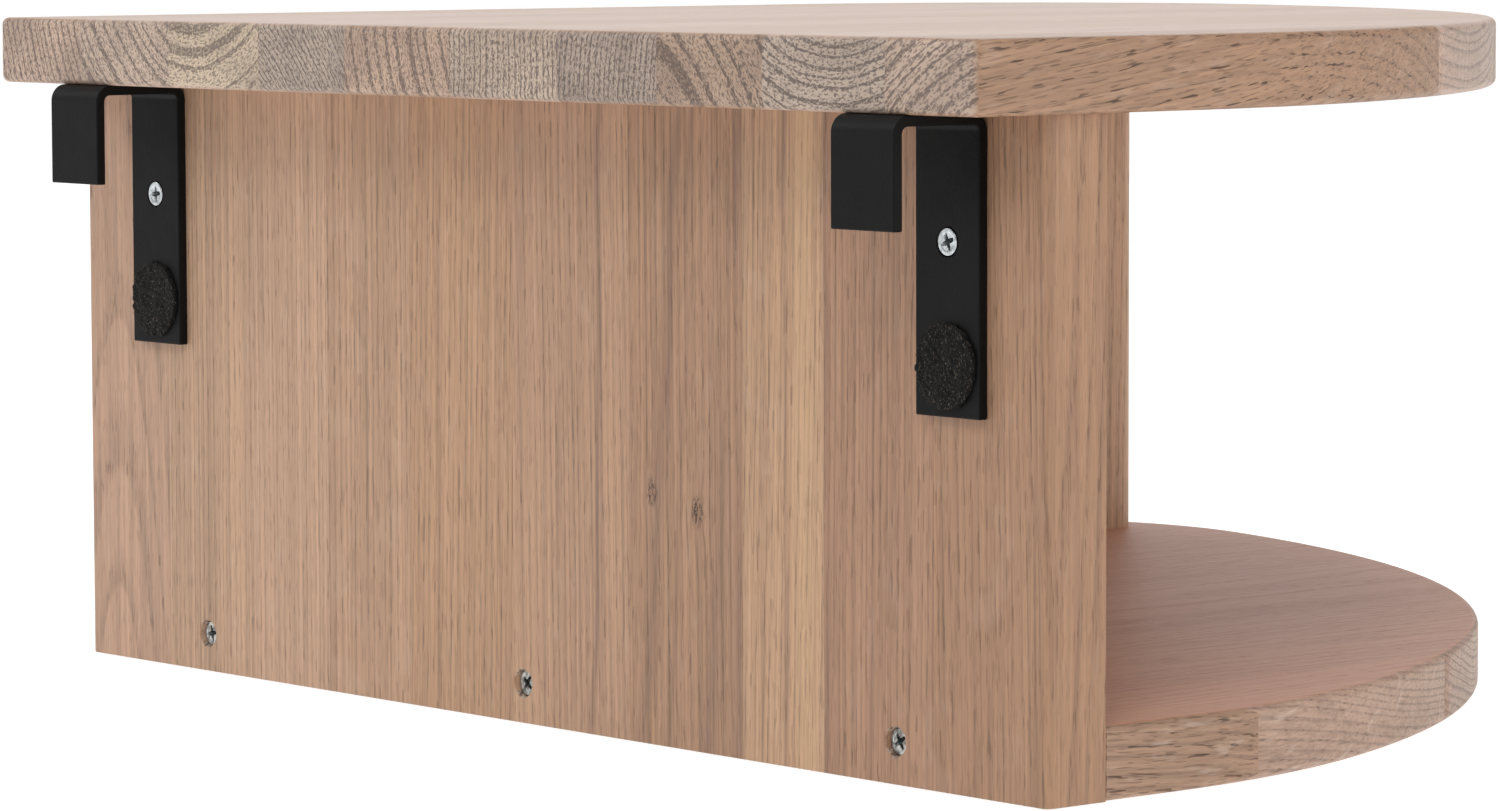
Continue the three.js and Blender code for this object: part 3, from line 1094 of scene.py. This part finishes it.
@dataclass
class BackPanel(StaveBoard):
    """The back panel, with the mouths of its screw holes."""

    screws: tuple[str, ...] = ()
    mouth: float = 3.95 * MM
    bore: float = 2.4 * MM
    mouth_sides: int = 72
    front_round: float = 0.4 * MM
    foot_round: float = 0.35 * MM

    def whole(self) -> Skin:
        """A plan with two rounded rear corners, carried upwards, with its lower edge rounded."""
        low, high = self.span()
        corners = [(low.x, low.y), (high.x, low.y), (high.x, high.y), (low.x, high.y)]
        outline = eased(corners, [self.front_round, self.front_round, self.arris, self.arris])
        return rounded_slab(outline, low.z, high.z, self.foot_round, 0, 2)

    def cutters(self, node: str) -> list[Skin]:
        """The mouths of the screw holes that this stave's rear face holds."""
        low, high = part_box(node)
        found = []
        for i, screw in enumerate(self.screws):
            head_low, head_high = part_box(screw)
            x, z = (head_low.x + head_high.x) / 2, (head_low.z + head_high.z) / 2
            if low.x - self.mouth < x < high.x + self.mouth:
                found.append(self.hole(x, head_high.y, z, high.y, i))
        return found

    def hole(self, x: float, seat: float, z: float, rear: float, seed: int) -> Skin:
        """A torn hole mouth: a turned profile whose radius wanders round the rim.

        Args:
            x: Place along X.
            seat: Where the screw's head faces, along Y.
            z: Place along Z.
            rear: The panel's rear face.
            seed: Seed of the rim's tears.

        Returns:
            The space to take out.
        """
        rng = np.random.default_rng(40 + seed)
        deep = rear - seat
        profile = np.array(
            [
                (0, -2.6 * MM), (self.bore, -2.6 * MM), (3.2 * MM, -1.7 * MM), (self.mouth, -0.2 * MM),
                (self.mouth, deep - 0.55 * MM), (self.mouth + 0.12 * MM, deep - 0.2 * MM),
                (self.mouth + 0.42 * MM, deep + 0.05 * MM), (self.mouth + 0.5 * MM, deep + 1 * MM),
                (0, deep + 1 * MM),
            ]
        )
        skin = turned(profile, self.mouth_sides)
        turn = np.arctan2(skin.points[:, 1], skin.points[:, 0])
        ring = np.stack([np.cos(turn), np.sin(turn)], -1)
        torn = ripple(ring, 14, 0.9, rng) * 0.055 + ripple(ring, 10, 2.6, rng) * 0.03
        share = np.clip((skin.points[:, 2] + 0.5 * MM) / deep, 0, 1)
        skin.points[:, :2] *= (1 + torn * share)[:, None]
        return facing_rear(skin, x, seat, z)


@dataclass
class Upright(StaveBoard):
    """The divider, with a half-round front edge."""

    nose_steps: int = 32

    def whole(self) -> Skin:
        """A plan with a half-round nose, carried from the shelf to the top."""
        low, high = self.span()
        nose = (high.x - low.x) / 2
        middle = (low.x + high.x) / 2
        outline = np.concatenate(
            [
                [(high.x, high.y), (low.x, high.y)],
                arc((middle, low.y + nose), nose, math.pi, FULL_TURN, self.nose_steps),
            ]
        )
        return rounded_slab(outline, low.z, high.z, 0, 0, 2)


# ------------------------------------------------------------------ hooks, screws, pads


@dataclass
class Hook:
    """A flat steel hook: long leg on the panel, short arm, short lip."""

    side: str
    gauge: float = 3 * MM
    bend: float = 2 * MM
    lip: float = 30 * MM
    edge: float = 0.45 * MM
    seat_gap: float = 0.4 * MM
    bore: float = 2.4 * MM
    seat_depth: float = 2.05 * MM
    seat_sides: int = 64
    end_steps: int = 7
    bend_steps: int = 12
    section_steps: int = 6

    def strip(self, low: Vector, high: Vector) -> Skin:
        """The bent strip: its rounded cross-section carried along the hook's middle line.

        A point of the section at (p, q) goes to the line's point plus p times the line's normal, and to q
        along X. Towards each end the section shrinks by e (1 - cos t) at a distance e (1 - sin t) from it.

        Args:
            low: The hook's lowest corner.
            high: The hook's highest corner.

        Returns:
            The closed surface.
        """
        half, bend, e = self.gauge / 2, self.bend + self.gauge / 2, self.edge
        near, far = low.y + half, high.y - half
        turn_z = high.z - half - bend
        n, quarter = self.end_steps, math.pi / 2
        turn = np.linspace(0, quarter, n)[::-1]
        ease = e * (1 - np.sin(turn))
        start = np.stack([np.full(n, near), low.z + ease], -1)
        end = np.stack([np.full(n, far), high.z - self.lip + ease], -1)[::-1]
        line = np.concatenate([
            start, arc((near + bend, turn_z), bend, math.pi, quarter, self.bend_steps),
            arc((far - bend, turn_z), bend, quarter, 0, self.bend_steps), end,
        ])
        normal = np.concatenate([
            np.tile([-1.0, 0.0], (n, 1)), arc((0, 0), 1, math.pi, quarter, self.bend_steps),
            arc((0, 0), 1, quarter, 0, self.bend_steps), np.tile([1.0, 0.0], (n, 1)),
        ])
        shrink = np.zeros(len(line))
        shrink[:n] = e * (1 - np.cos(turn))
        shrink[-n:] = shrink[:n][::-1]
        wide, middle = (high.x - low.x) / 2, (low.x + high.x) / 2
        corners = [(-half, -wide), (half, -wide), (half, wide), (-half, wide)]
        section = eased(corners, [e] * 4, self.section_steps)
        drawn = section[None] - outward(section)[None] * shrink[:, None, None]
        flat = line[:, None] + drawn[..., :1] * normal[:, None]
        points = np.concatenate([drawn[..., 1:] + middle, flat], -1).reshape(-1, 3)
        around, last = len(section), (len(line) - 1) * len(section)
        faces = band_faces(len(line), around)
        faces += [tuple(range(around - 1, -1, -1)), tuple(range(last, last + around))]
        return Skin(points, faces)

    def build(self, finish: bpy.types.Material) -> bpy.types.Object:
        """The hook with its countersunk holes.

        Args:
            finish: The coat.

        Returns:
            The piece.
        """
        node = f"hook_{self.side}"
        low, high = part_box(node)
        skin = self.strip(low, high)
        piece = skin.piece(f"{node}_steel")
        seats = []
        for place in ("upper", "lower"):
            head_low, head_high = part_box(f"hook_screw_{self.side}_{place}")
            wide = (head_high.x - head_low.x) / 2 + self.seat_gap
            profile = np.array(
                [(0, -5 * MM), (self.bore, -5 * MM), (self.bore, -self.seat_depth), (wide, -0.25 * MM),
                 (wide + 0.28 * MM, 0.02 * MM), (wide + 0.3 * MM, 1 * MM), (0, 1 * MM)]
            )
            x, z = (head_low.x + head_high.x) / 2, (head_low.z + head_high.z) / 2
            seats.append(facing_rear(turned(profile, self.seat_sides), x, head_high.y, z))
        return placed(finished(carved(piece, seats)), node, finish)


class Drive(Enum):
    """How worn a screw's cross recess is, as the share by which its arms are rounded out."""

    CRISP = 0.12
    WORN = 0.3


@dataclass
class CrossScrew:
    """A countersunk screw with a cross recess."""

    node: str
    turn: float
    drive: Drive
    finish: ZincPlate
    recess: float = 2.45 * MM
    arm: float = 0.6 * MM
    depth: float = 1.6 * MM
    shank: float = 2 * MM
    tip: float = 5 * MM
    head_height: float = 1.75 * MM
    rings: int = 44
    around: int = 160
    crisp_angle: float = 50.0

    def dish(self, radius: np.ndarray, turn: np.ndarray) -> np.ndarray:
        """Depth of the recess: two crossed slots that get narrower and shallower outwards.

        A slot's depth falls from full to none as the distance across it reaches the arm's half width,
        and as the distance along it reaches the recess's reach.

        Args:
            radius: Distance from the head's middle.
            turn: Angle round it.

        Returns:
            How far the surface lies below the face.
        """
        spin = turn - self.turn
        x, y = radius * np.cos(spin), radius * np.sin(spin)
        soft = self.drive.value * self.arm

        def slot(along: np.ndarray, across: np.ndarray) -> np.ndarray:
            reach = np.clip(1 - np.abs(along) / self.recess, 0, 1)
            half = self.arm * (0.62 + 0.5 * reach)
            wall = np.clip((half - np.abs(across)) / (soft + 0.12 * MM) + 0.5, 0, 1)
            end = np.clip(reach / 0.16, 0, 1)
            return wall * wall * (3 - 2 * wall) * end * (0.42 + 0.58 * reach)

        pit = np.clip((0.62 * MM - radius) / (0.2 * MM), 0, 1) * 0.25
        return self.depth * np.clip(np.maximum(slot(x, y), slot(y, x)) + pit, 0, 1.15)

    def build(self) -> bpy.types.Object:
        """The screw, its head facing the rear.

        Returns:
            The piece.
        """
        low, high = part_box(self.node)
        head = (high.x - low.x) / 2
        long = high.y - low.y
        rim = [
            (0, -long), (0.25 * MM, -long + 0.5 * MM),
            (self.shank, -long + self.tip), (self.shank, -self.head_height),
            (head - 0.1 * MM, -0.32 * MM), (head, -0.22 * MM), (head - 0.03 * MM, -0.1 * MM),
            (head - 0.14 * MM, -0.02 * MM),
        ]
        radius = np.linspace(head - 0.3 * MM, 0, self.rings)
        face = -0.03 * MM - 0.05 * MM * np.clip((head - 0.9 * MM - radius) / (0.4 * MM), 0, 1)
        rim_part = np.array(rim)
        profile = np.concatenate([rim_part, np.stack([radius, face], -1)])
        turn = np.linspace(0, FULL_TURN, self.around, endpoint=False)
        sunk = np.zeros((len(profile), self.around))
        sunk[len(rim):] = -self.dish(radius[:, None], turn[None])
        skin = turned(profile, self.around, sunk)
        place = facing_rear(skin, (low.x + high.x) / 2, high.y, (low.z + high.z) / 2)
        piece = place.piece(f"{self.node}_zinc")
        # The sunk attribute holds the recess depth, which the zinc material turns into painted shade.
        deep = np.concatenate([-sunk[1:-1].ravel() / self.depth, [0.0, 1.0]])
        shade = piece.data.attributes.new("sunk", "FLOAT", "POINT")
        shade.data.foreach_set("value", deep.astype(np.float32))
        return placed(finished(piece, self.crisp_angle), self.node, self.finish.material())


@dataclass
class FeltPad:
    """A round felt pad with loose fibres round its face and rim."""

    side: str
    fibres: int = 900
    fibre_points: int = 4
    fibre_sides: int = 3
    fibre_radius: float = 0.038 * MM
    edge_share: float = 0.32
    face_rings: int = 26
    pad_sides: int = 120
    crisp_angle: float = 60.0

    def build(self, finish: bpy.types.Material, loose: bpy.types.Material) -> bpy.types.Object:
        """The pad: a turned disc whose face is uneven, with short fibres standing on it.

        Args:
            finish: The felt.
            loose: The loose fibres.

        Returns:
            The piece.
        """
        node = f"felt_{self.side}"
        low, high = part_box(node)
        wide, thick = (high.x - low.x) / 2, high.y - low.y
        rng = np.random.default_rng(7 if self.side == "left" else 8)
        turn = np.linspace(-math.pi / 2, math.pi / 2, 9)
        soft = thick * self.edge_share
        bend = soft * np.stack([np.cos(turn), np.sin(turn)], -1)
        low_side = bend[:5] + [wide - soft, soft]
        top_side = bend[4:] + [wide - soft, thick - soft]
        flat = np.linspace(wide - soft - 0.2 * MM, 0, self.face_rings)
        face = np.stack([flat, np.full(self.face_rings, thick)], -1)
        profile = np.concatenate([[(0, 0), (wide * 0.5, 0)], low_side, top_side, face])
        skin = turned(profile, self.pad_sides)
        out = skin.points[:, 2]
        worn = ripple(skin.points, 60, 420, rng) * 0.16 * MM + ripple(skin.points, 40, 130, rng) * 0.13 * MM
        lifted = np.clip(out / thick, 0, 1)
        skin.points[:, 2] += (worn - 0.22 * MM) * lifted
        skin.points[:, :2] *= (1 + (worn / wide * 2.2 - 0.008) * (lifted > 0))[:, None]
        strands = self.strands(wide, thick, rng)
        shift = len(skin.points)
        faces = skin.faces + [tuple(i + shift for i in f) for f in strands.faces]
        whole = Skin(np.concatenate([skin.points, strands.points]), faces)
        place = facing_rear(whole, (low.x + high.x) / 2, low.y, (low.z + high.z) / 2)
        pad = placed(finished(place.piece(f"{node}_wool"), self.crisp_angle), node, finish)
        pad.data.materials.append(loose)
        slots = np.zeros(len(faces), np.int32)
        slots[len(skin.faces):] = 1
        pad.data.polygons.foreach_set("material_index", slots)
        return pad

    def strands(self, wide: float, thick: float, rng: np.random.Generator) -> Skin:
        """Short curved fibres, each a thin closed tube along a bent line.

        A fibre starts on the pad at a random place and bends sideways as the square of the way along it.

        Args:
            wide: The pad's radius.
            thick: The pad's thickness.
            rng: Seeded source of random numbers.

        Returns:
            All the fibres as one surface.
        """
        n, rows, around = self.fibres, self.fibre_points, self.fibre_sides
        angle = rng.uniform(0, FULL_TURN, n)
        reach = wide * np.sqrt(rng.uniform(0.05, 0.99, n))
        root = np.stack([reach * np.cos(angle), reach * np.sin(angle), np.full(n, thick - 0.3 * MM)], -1)
        way = rng.normal(size=(n, 3)) * [1, 1, 0.25]
        way /= np.linalg.norm(way, axis=1, keepdims=True)
        bow = rng.normal(size=(n, 3)) * [0.6, 0.6, 0.1]
        step = np.linspace(0, 1, rows)
        long = rng.uniform(0.7, 2.2, n) * MM
        line = (
            root[:, None]
            + way[:, None] * (step[:, None] * long[:, None, None])
            + bow[:, None] * (step[:, None] ** 2 * long[:, None, None])
        )
        line[..., 2] = np.clip(line[..., 2], thick * 0.55, thick + 0.1 * MM)
        away = np.linalg.norm(line[:, :, :2], axis=-1)
        line[:, :, :2] *= np.minimum(1, (wide + 0.2 * MM) / away)[..., None]
        spin = np.linspace(0, FULL_TURN, around, endpoint=False)
        slim = self.fibre_radius * np.array([1, 1, 0.8, 0.3])
        side = np.stack([-way[:, 1], way[:, 0], 0 * way[:, 0]], -1)
        side /= np.linalg.norm(side, axis=1, keepdims=True)
        up = np.cross(way, side)
        ring = side[:, None] * np.cos(spin)[:, None] + up[:, None] * np.sin(spin)[:, None]
        points = line[:, :, None] + ring[:, None] * slim[None, :, None, None]
        first = np.arange(n)[:, None, None] * rows * around
        faces = (np.array(band_faces(rows, around))[None] + first).reshape(-1, 4)
        ends = np.array([(2, 1, 0), (9, 10, 11)])
        ends = (ends[None] + first).reshape(-1, 3)
        return Skin(points.reshape(-1, 3), [tuple(f) for f in [*faces.tolist(), *ends.tolist()]])


# ------------------------------------------------------------------ studio


@dataclass
class Studio:
    """Floor, light and camera."""

    eye: tuple[float, float, float] = (-1.3467, 1.2276, 0.2332)
    azimuth: float = math.radians(229.975)
    elevation: float = math.radians(4.761)
    roll: float = math.radians(-0.175)
    lens: float = 143.51
    floor: float = 30.0
    floor_white: float = 0.36
    floor_glow: float = 0.88
    floor_sides: int = 96
    sky: float = 0.38
    lamps: tuple[tuple, ...] = (
        ("overhead", (0.0, 0.2, 1.9), (1.5, 1.5), 14.3),
        ("left_box", (1.9, 1.5, 1.5), (1.0, 1.0), 12.0),
        ("right_box", (-1.3, 1.7, 1.9), (1.0, 1.0), 15.0),
        ("right_fill", (-2.3, -0.9, 1.0), (1.2, 1.2), 12.0),
        ("backdrop", (2.4, -2.0, 0.9), (3.0, 1.6), 17.0),
    )
    aim: tuple[float, float, float] = (0.0, 0.0, 0.1)

    def camera(self) -> None:
        """The camera, behind the shelf on its right."""
        data = bpy.data.cameras.new("camera")
        data.lens, data.sensor_width = self.lens, 36.0
        data.clip_end = 200.0
        turn = (
            Matrix.Rotation(self.azimuth, 4, "Z")
            @ Matrix.Rotation(math.pi / 2 - self.elevation, 4, "X")
            @ Matrix.Rotation(self.roll, 4, "Z")
        )
        camera = bpy.data.objects.new("camera", data)
        camera.matrix_world = Matrix.Translation(Vector(self.eye)) @ turn
        bpy.context.scene.collection.objects.link(camera)
        bpy.context.scene.camera = camera

    def ground(self) -> None:
        """A wide round floor, white and matt."""
        turn = np.linspace(0, FULL_TURN, self.floor_sides, endpoint=False)
        rim = np.stack([np.cos(turn), np.sin(turn), 0 * turn], -1) * self.floor
        floor = Skin(rim, [tuple(range(self.floor_sides))]).piece("floor")
        floor.data.transform(Matrix.Translation((0, 0, -0.0005)))
        material, g, principled = shader("floor_white")
        principled.inputs["Base Color"].default_value = (*[self.floor_white] * 3, 1.0)
        principled.inputs["Roughness"].default_value = 1.0
        principled.inputs["Specular IOR Level"].default_value = 0.0
        principled.inputs["Emission Color"].default_value = (1.0, 1.0, 1.0, 1.0)
        principled.inputs["Emission Strength"].default_value = self.floor_glow
        floor.data.materials.append(material)

    def lamp(self, name: str, place: tuple, size: tuple, power: float) -> None:
        """One soft rectangular light that looks at the middle of the shelf.

        Args:
            name: The light's name.
            place: Where it stands.
            size: Width and height.
            power: Watts.
        """
        data = bpy.data.lights.new(name, "AREA")
        data.shape, data.size, data.size_y = "RECTANGLE", *size
        data.energy = power
        light = bpy.data.objects.new(name, data)
        light.visible_camera = False
        way = Vector(self.aim) - Vector(place)
        facing = way.to_track_quat("-Z", "Y").to_matrix().to_4x4()
        light.matrix_world = Matrix.Translation(Vector(place)) @ facing
        bpy.context.scene.collection.objects.link(light)

    def build(self) -> None:
        """Puts up the whole studio."""
        world = bpy.data.worlds.new("studio")
        world.use_nodes = True
        sky = world.node_tree.nodes["Background"]
        sky.inputs["Color"].default_value = (1.0, 1.0, 1.0, 1.0)
        sky.inputs["Strength"].default_value = self.sky
        bpy.context.scene.world = world
        bpy.context.scene.view_settings.view_transform = "Standard"
        self.camera()
        self.ground()
        for lamp in self.lamps:
            self.lamp(*lamp)


# ------------------------------------------------------------------ the shelf


def around_tone(red: int, green: int, blue: int, spread: float = 0.13) -> tuple[tuple, tuple]:
    """A pale and a deep colour on either side of a middle one.

    Args:
        red: The middle colour's red.
        green: Its green.
        blue: Its blue.
        spread: How far the two stand apart, as a share.

    Returns:
        The pale and the deep colour.
    """
    middle = np.array([red, green, blue])
    pale, deep = middle * (1 + spread * 0.8), middle * (1 - spread)
    return tuple(pale.clip(0, 255).tolist()), tuple(deep.tolist())


def tones(
    name: str, grain: Grain, nodes: list[str], axis: int, shades: list[tuple], seed: int, base: OakFinish
) -> tuple[OakFinish, ...]:
    """One finish for each stave, each cut from its own place in a log.

    Args:
        name: Start of the finishes' names.
        grain: Which way the grain runs.
        nodes: The staves' CAD nodes.
        axis: The axis that the staves lie side by side along.
        shades: Pale colour, deep colour and changes for each stave, used in turn. Among the changes, heart
            is how far the pith lies across and above the stave, and end is its middle end-grain colour.
        seed: Seed of the draws.
        base: The finish that each one starts from.

    Returns:
        The finishes.
    """
    rng = np.random.default_rng(seed)
    made = []
    for i, node in enumerate(nodes):
        low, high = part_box(node)
        centre = (low + high) / 2
        pale, deep, change = shades[i % len(shades)]
        change = dict(change)
        lean = rng.uniform(-1.1, 1.1)
        away = rng.uniform(0.045, 0.11) * (1 if rng.random() < 0.5 else -1)
        drawn = {
            "drift": tuple(rng.uniform(-5, 5, 3).tolist()),
            "ring": float(rng.uniform(0.0019, 0.0032)),
            "taper": float(rng.uniform(-0.03, 0.03)),
        }
        across, over = change.pop("heart", (away * math.sin(lean), away * math.cos(lean)))
        if grain is Grain.DEPTH:
            pith = (centre[axis] + across, -(centre.z + over))
        else:
            pith = (centre.x + across, centre.y + over)
        drawn |= {"pith": pith, "reach": math.hypot(across, over)}
        drawn |= {"name": f"{name}_{i + 1:02d}", "grain": grain, "pale": pale, "deep": deep}
        if "end" in change:
            middle = np.array(change.pop("end"))
            drawn["end_pale"] = tuple((middle * [1.24, 1.27, 1.25]).clip(0, 255).tolist())
            drawn["end_deep"] = tuple((middle * 0.72).tolist())
        made.append(replace(base, **(drawn | change)))
    return tuple(made)


def boards() -> list[StaveBoard]:
    """The four boards with their finishes.

    Returns:
        The boards, ready to build.
    """
    plan = PlanShape()
    # Painted sheen: half of the sheen colour is laid over the upward faces of the top.
    base = OakFinish("oak", Grain.DEPTH, (0, 0, 0), (0, 0, 0), painted_sheen=0.5, coat=0.2)
    tan, rose = around_tone(174, 143, 120), around_tone(188, 160, 143)
    ends = [
        {"heart": (-0.10, 0.035), "ring": 0.0030, "end": (166, 140, 126)},
        {"heart": (-0.06, 0.055), "ring": 0.0042, "end": (164, 141, 128)},
        {"heart": (0.015, 0.050), "ring": 0.0066, "end": (170, 149, 132), "waver": 0.007},
        {"heart": (0.07, -0.06), "ring": 0.0017, "end": (156, 137, 126), "end_contrast": 1.7},
        {"heart": (-0.11, 0.03), "ring": 0.0050, "end": (161, 134, 119)},
        {"heart": (0.14, 0.0), "ring": 0.0024, "end": (160, 139, 126), "end_contrast": 1.6},
        {"heart": (-0.12, -0.012), "ring": 0.0021, "end": (146, 127, 117), "end_contrast": 1.6},
        {"heart": (0.05, -0.05), "ring": 0.0080, "end": (148, 123, 108), "waver": 0.008},
        {"heart": (-0.004, 0.052), "ring": 0.0031, "end": (152, 133, 122), "end_contrast": 1.9},
        {"heart": (-0.05, -0.055), "ring": 0.0034, "end": (164, 140, 127), "end_contrast": 1.6,
         "pores": 1.0, "tilt": 0.14, "rays": 0.1, "rings": 0.3},
    ]
    shades = [tan, rose, rose, rose, tan, rose, tan, tan, rose, around_tone(163, 128, 102)]
    top = tones("top_oak", Grain.DEPTH, stave_names("top"), 0,
                [(*shade, change) for shade, change in zip(shades, ends)], 11, base)
    # The shelf's painted sheen: a warm pale tone laid over its upward faces, painted light for its top.
    low = replace(base, painted_sheen=0.5, sheen_colour=(220, 152, 120), coat=0.05)
    brown = around_tone(168, 138, 120)
    shelf = tones("shelf_oak", Grain.DEPTH, stave_names("shelf"), 0, [
        *([(*brown, {}), (*around_tone(172, 143, 125), {})] * 4),
        (*brown, {"end": (176, 153, 140)}),
        (*around_tone(172, 142, 123), {"end": (176, 152, 138), "heart": (0.03, 0.07)}),
        (*around_tone(162, 130, 107), {"pores": 1.0, "tilt": -0.05, "heart": (0.05, 0.05)}),
    ], 12, low)
    fine = replace(
        base, rings=0.34, waver=0.0018, pores=0.45, rays=0.06, streaks=0.12, painted_sheen=0.0, coat=0.08
    )
    panel = tones("panel_oak", Grain.UPRIGHT, stave_names("panel"), 0, [
        (*around_tone(183, 148, 124), {"rings": 0.34, "waver": 0.006, "heart": (0.006, -0.03),
                                       "taper": 0.07, "ring": 0.0042}),
        (*around_tone(182, 148, 121), {"heart": (0.09, 0.03), "ring": 0.0024}),
        (*around_tone(182, 148, 122), {"heart": (0.10, -0.02), "ring": 0.0021}),
        (*around_tone(178, 143, 116), {"heart": (-0.09, 0.02), "ring": 0.0027}),
        (*around_tone(177, 140, 111), {"heart": (-0.08, -0.03), "ring": 0.0022}),
        (*around_tone(177, 141, 114), {"heart": (0.07, 0.03), "ring": 0.0025,
                                       "veins": (Vein(-0.0328, 0.0013, 0.75, -0.025),)}),
        (*around_tone(162, 127, 101, 0.16), {
            "heart": (0.08, 0.045), "ring": 0.0028, "waver": 0.004,
            "knots": (Knot((-0.059, 0.0, 0.071), 0.0021), Knot((-0.079, 0.0, 0.067), 0.0025)),
            "veins": (Vein(-0.0549, 0.0026, 0.6, -0.098), Vein(-0.0835, 0.0024, 0.65, -0.083),
                      Vein(-0.0965, 0.0016, 0.6, -0.01), Vein(-0.067, 0.0012, 0.45, -0.06))}),
        (*around_tone(178, 143, 114, 0.16), {"heart": (0.09, 0.02), "ring": 0.0024, "veins": (
            Vein(-0.117, 0.0014, 0.6, 0.0), Vein(-0.1255, 0.0042, 0.55, 0.0, (206, 172, 132)),
            Vein(-0.1005, 0.0012, 0.4, 0.0, (200, 166, 132)))}),
        (*around_tone(165, 128, 103), {"heart": (-0.09, 0.03), "ring": 0.0023, "veins": (
            Vein(-0.1342, 0.0009, 0.8), Vein(-0.151, 0.0014, 0.4, -0.02))}),
        (*around_tone(164, 127, 100), {"heart": (-0.08, 0.02), "ring": 0.0026}),
    ], 13, fine)
    upright = tones("upright_oak", Grain.UPRIGHT, stave_names("upright"), 1, [
        (*around_tone(182, 145, 116), {})], 14, fine)
    screws = tuple(sorted(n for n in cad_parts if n.startswith("shelf_screw_")))
    return [
        RoundedBoard("top", Grain.DEPTH, 0, top, plan=plan, grow=4 * MM),
        Shelf("shelf", Grain.DEPTH, 0, shelf, plan=plan),
        BackPanel("panel", Grain.UPRIGHT, 0, panel, screws=screws),
        Upright("upright", Grain.UPRIGHT, 1, upright),
    ]


def main() -> None:
    """Builds the shelf piece by piece, then the studio round it."""
    logging.basicConfig(level=logging.INFO, format="%(message)s")
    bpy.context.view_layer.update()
    Studio().build()
    for board in boards():
        log.info("%s: %d staves", board.name, len(board.build()))
    coat, wool = PowderCoat().material(), WoolFelt().material()
    # Loose fibres are real strands; their pale colours are painted sheen from grazing light.
    loose = WoolFelt("loose_wool", (8, 8, 7), (80, 73, 66), (150, 138, 122)).material()
    bright = ZincPlate("hook_screw_zinc")
    dull = ZincPlate("shelf_screw_zinc", (196, 198, 196), (120, 118, 112), rough=0.28)
    for side in ("left", "right"):
        Hook(side).build(coat)
        FeltPad(side).build(wool, loose)
        log.info("hook and pad: %s", side)
    turns = {"hook_screw_left_upper": 0.35, "hook_screw_right_upper": 0.1,
             "hook_screw_left_lower": 0.0, "hook_screw_right_lower": 0.7}
    for node, turn in turns.items():
        CrossScrew(node, turn, Drive.WORN, bright).build()
    for side, turn in {"right": 0.2, "middle": 0.9, "left": 0.55}.items():
        CrossScrew(f"shelf_screw_{side}", turn, Drive.CRISP, dull).build()
    log.info("seven screws")
    pale, deep = (224, 190, 150), (204, 166, 124)
    plain = OakFinish("beech", Grain.UPRIGHT, pale, deep, pores=0.1, rings=0.2).material()
    for node in sorted(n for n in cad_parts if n.startswith("dowel_")):
        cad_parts[node].data.materials.clear()
        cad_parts[node].data.materials.append(plain)


if __name__ == "__main__":
    main()
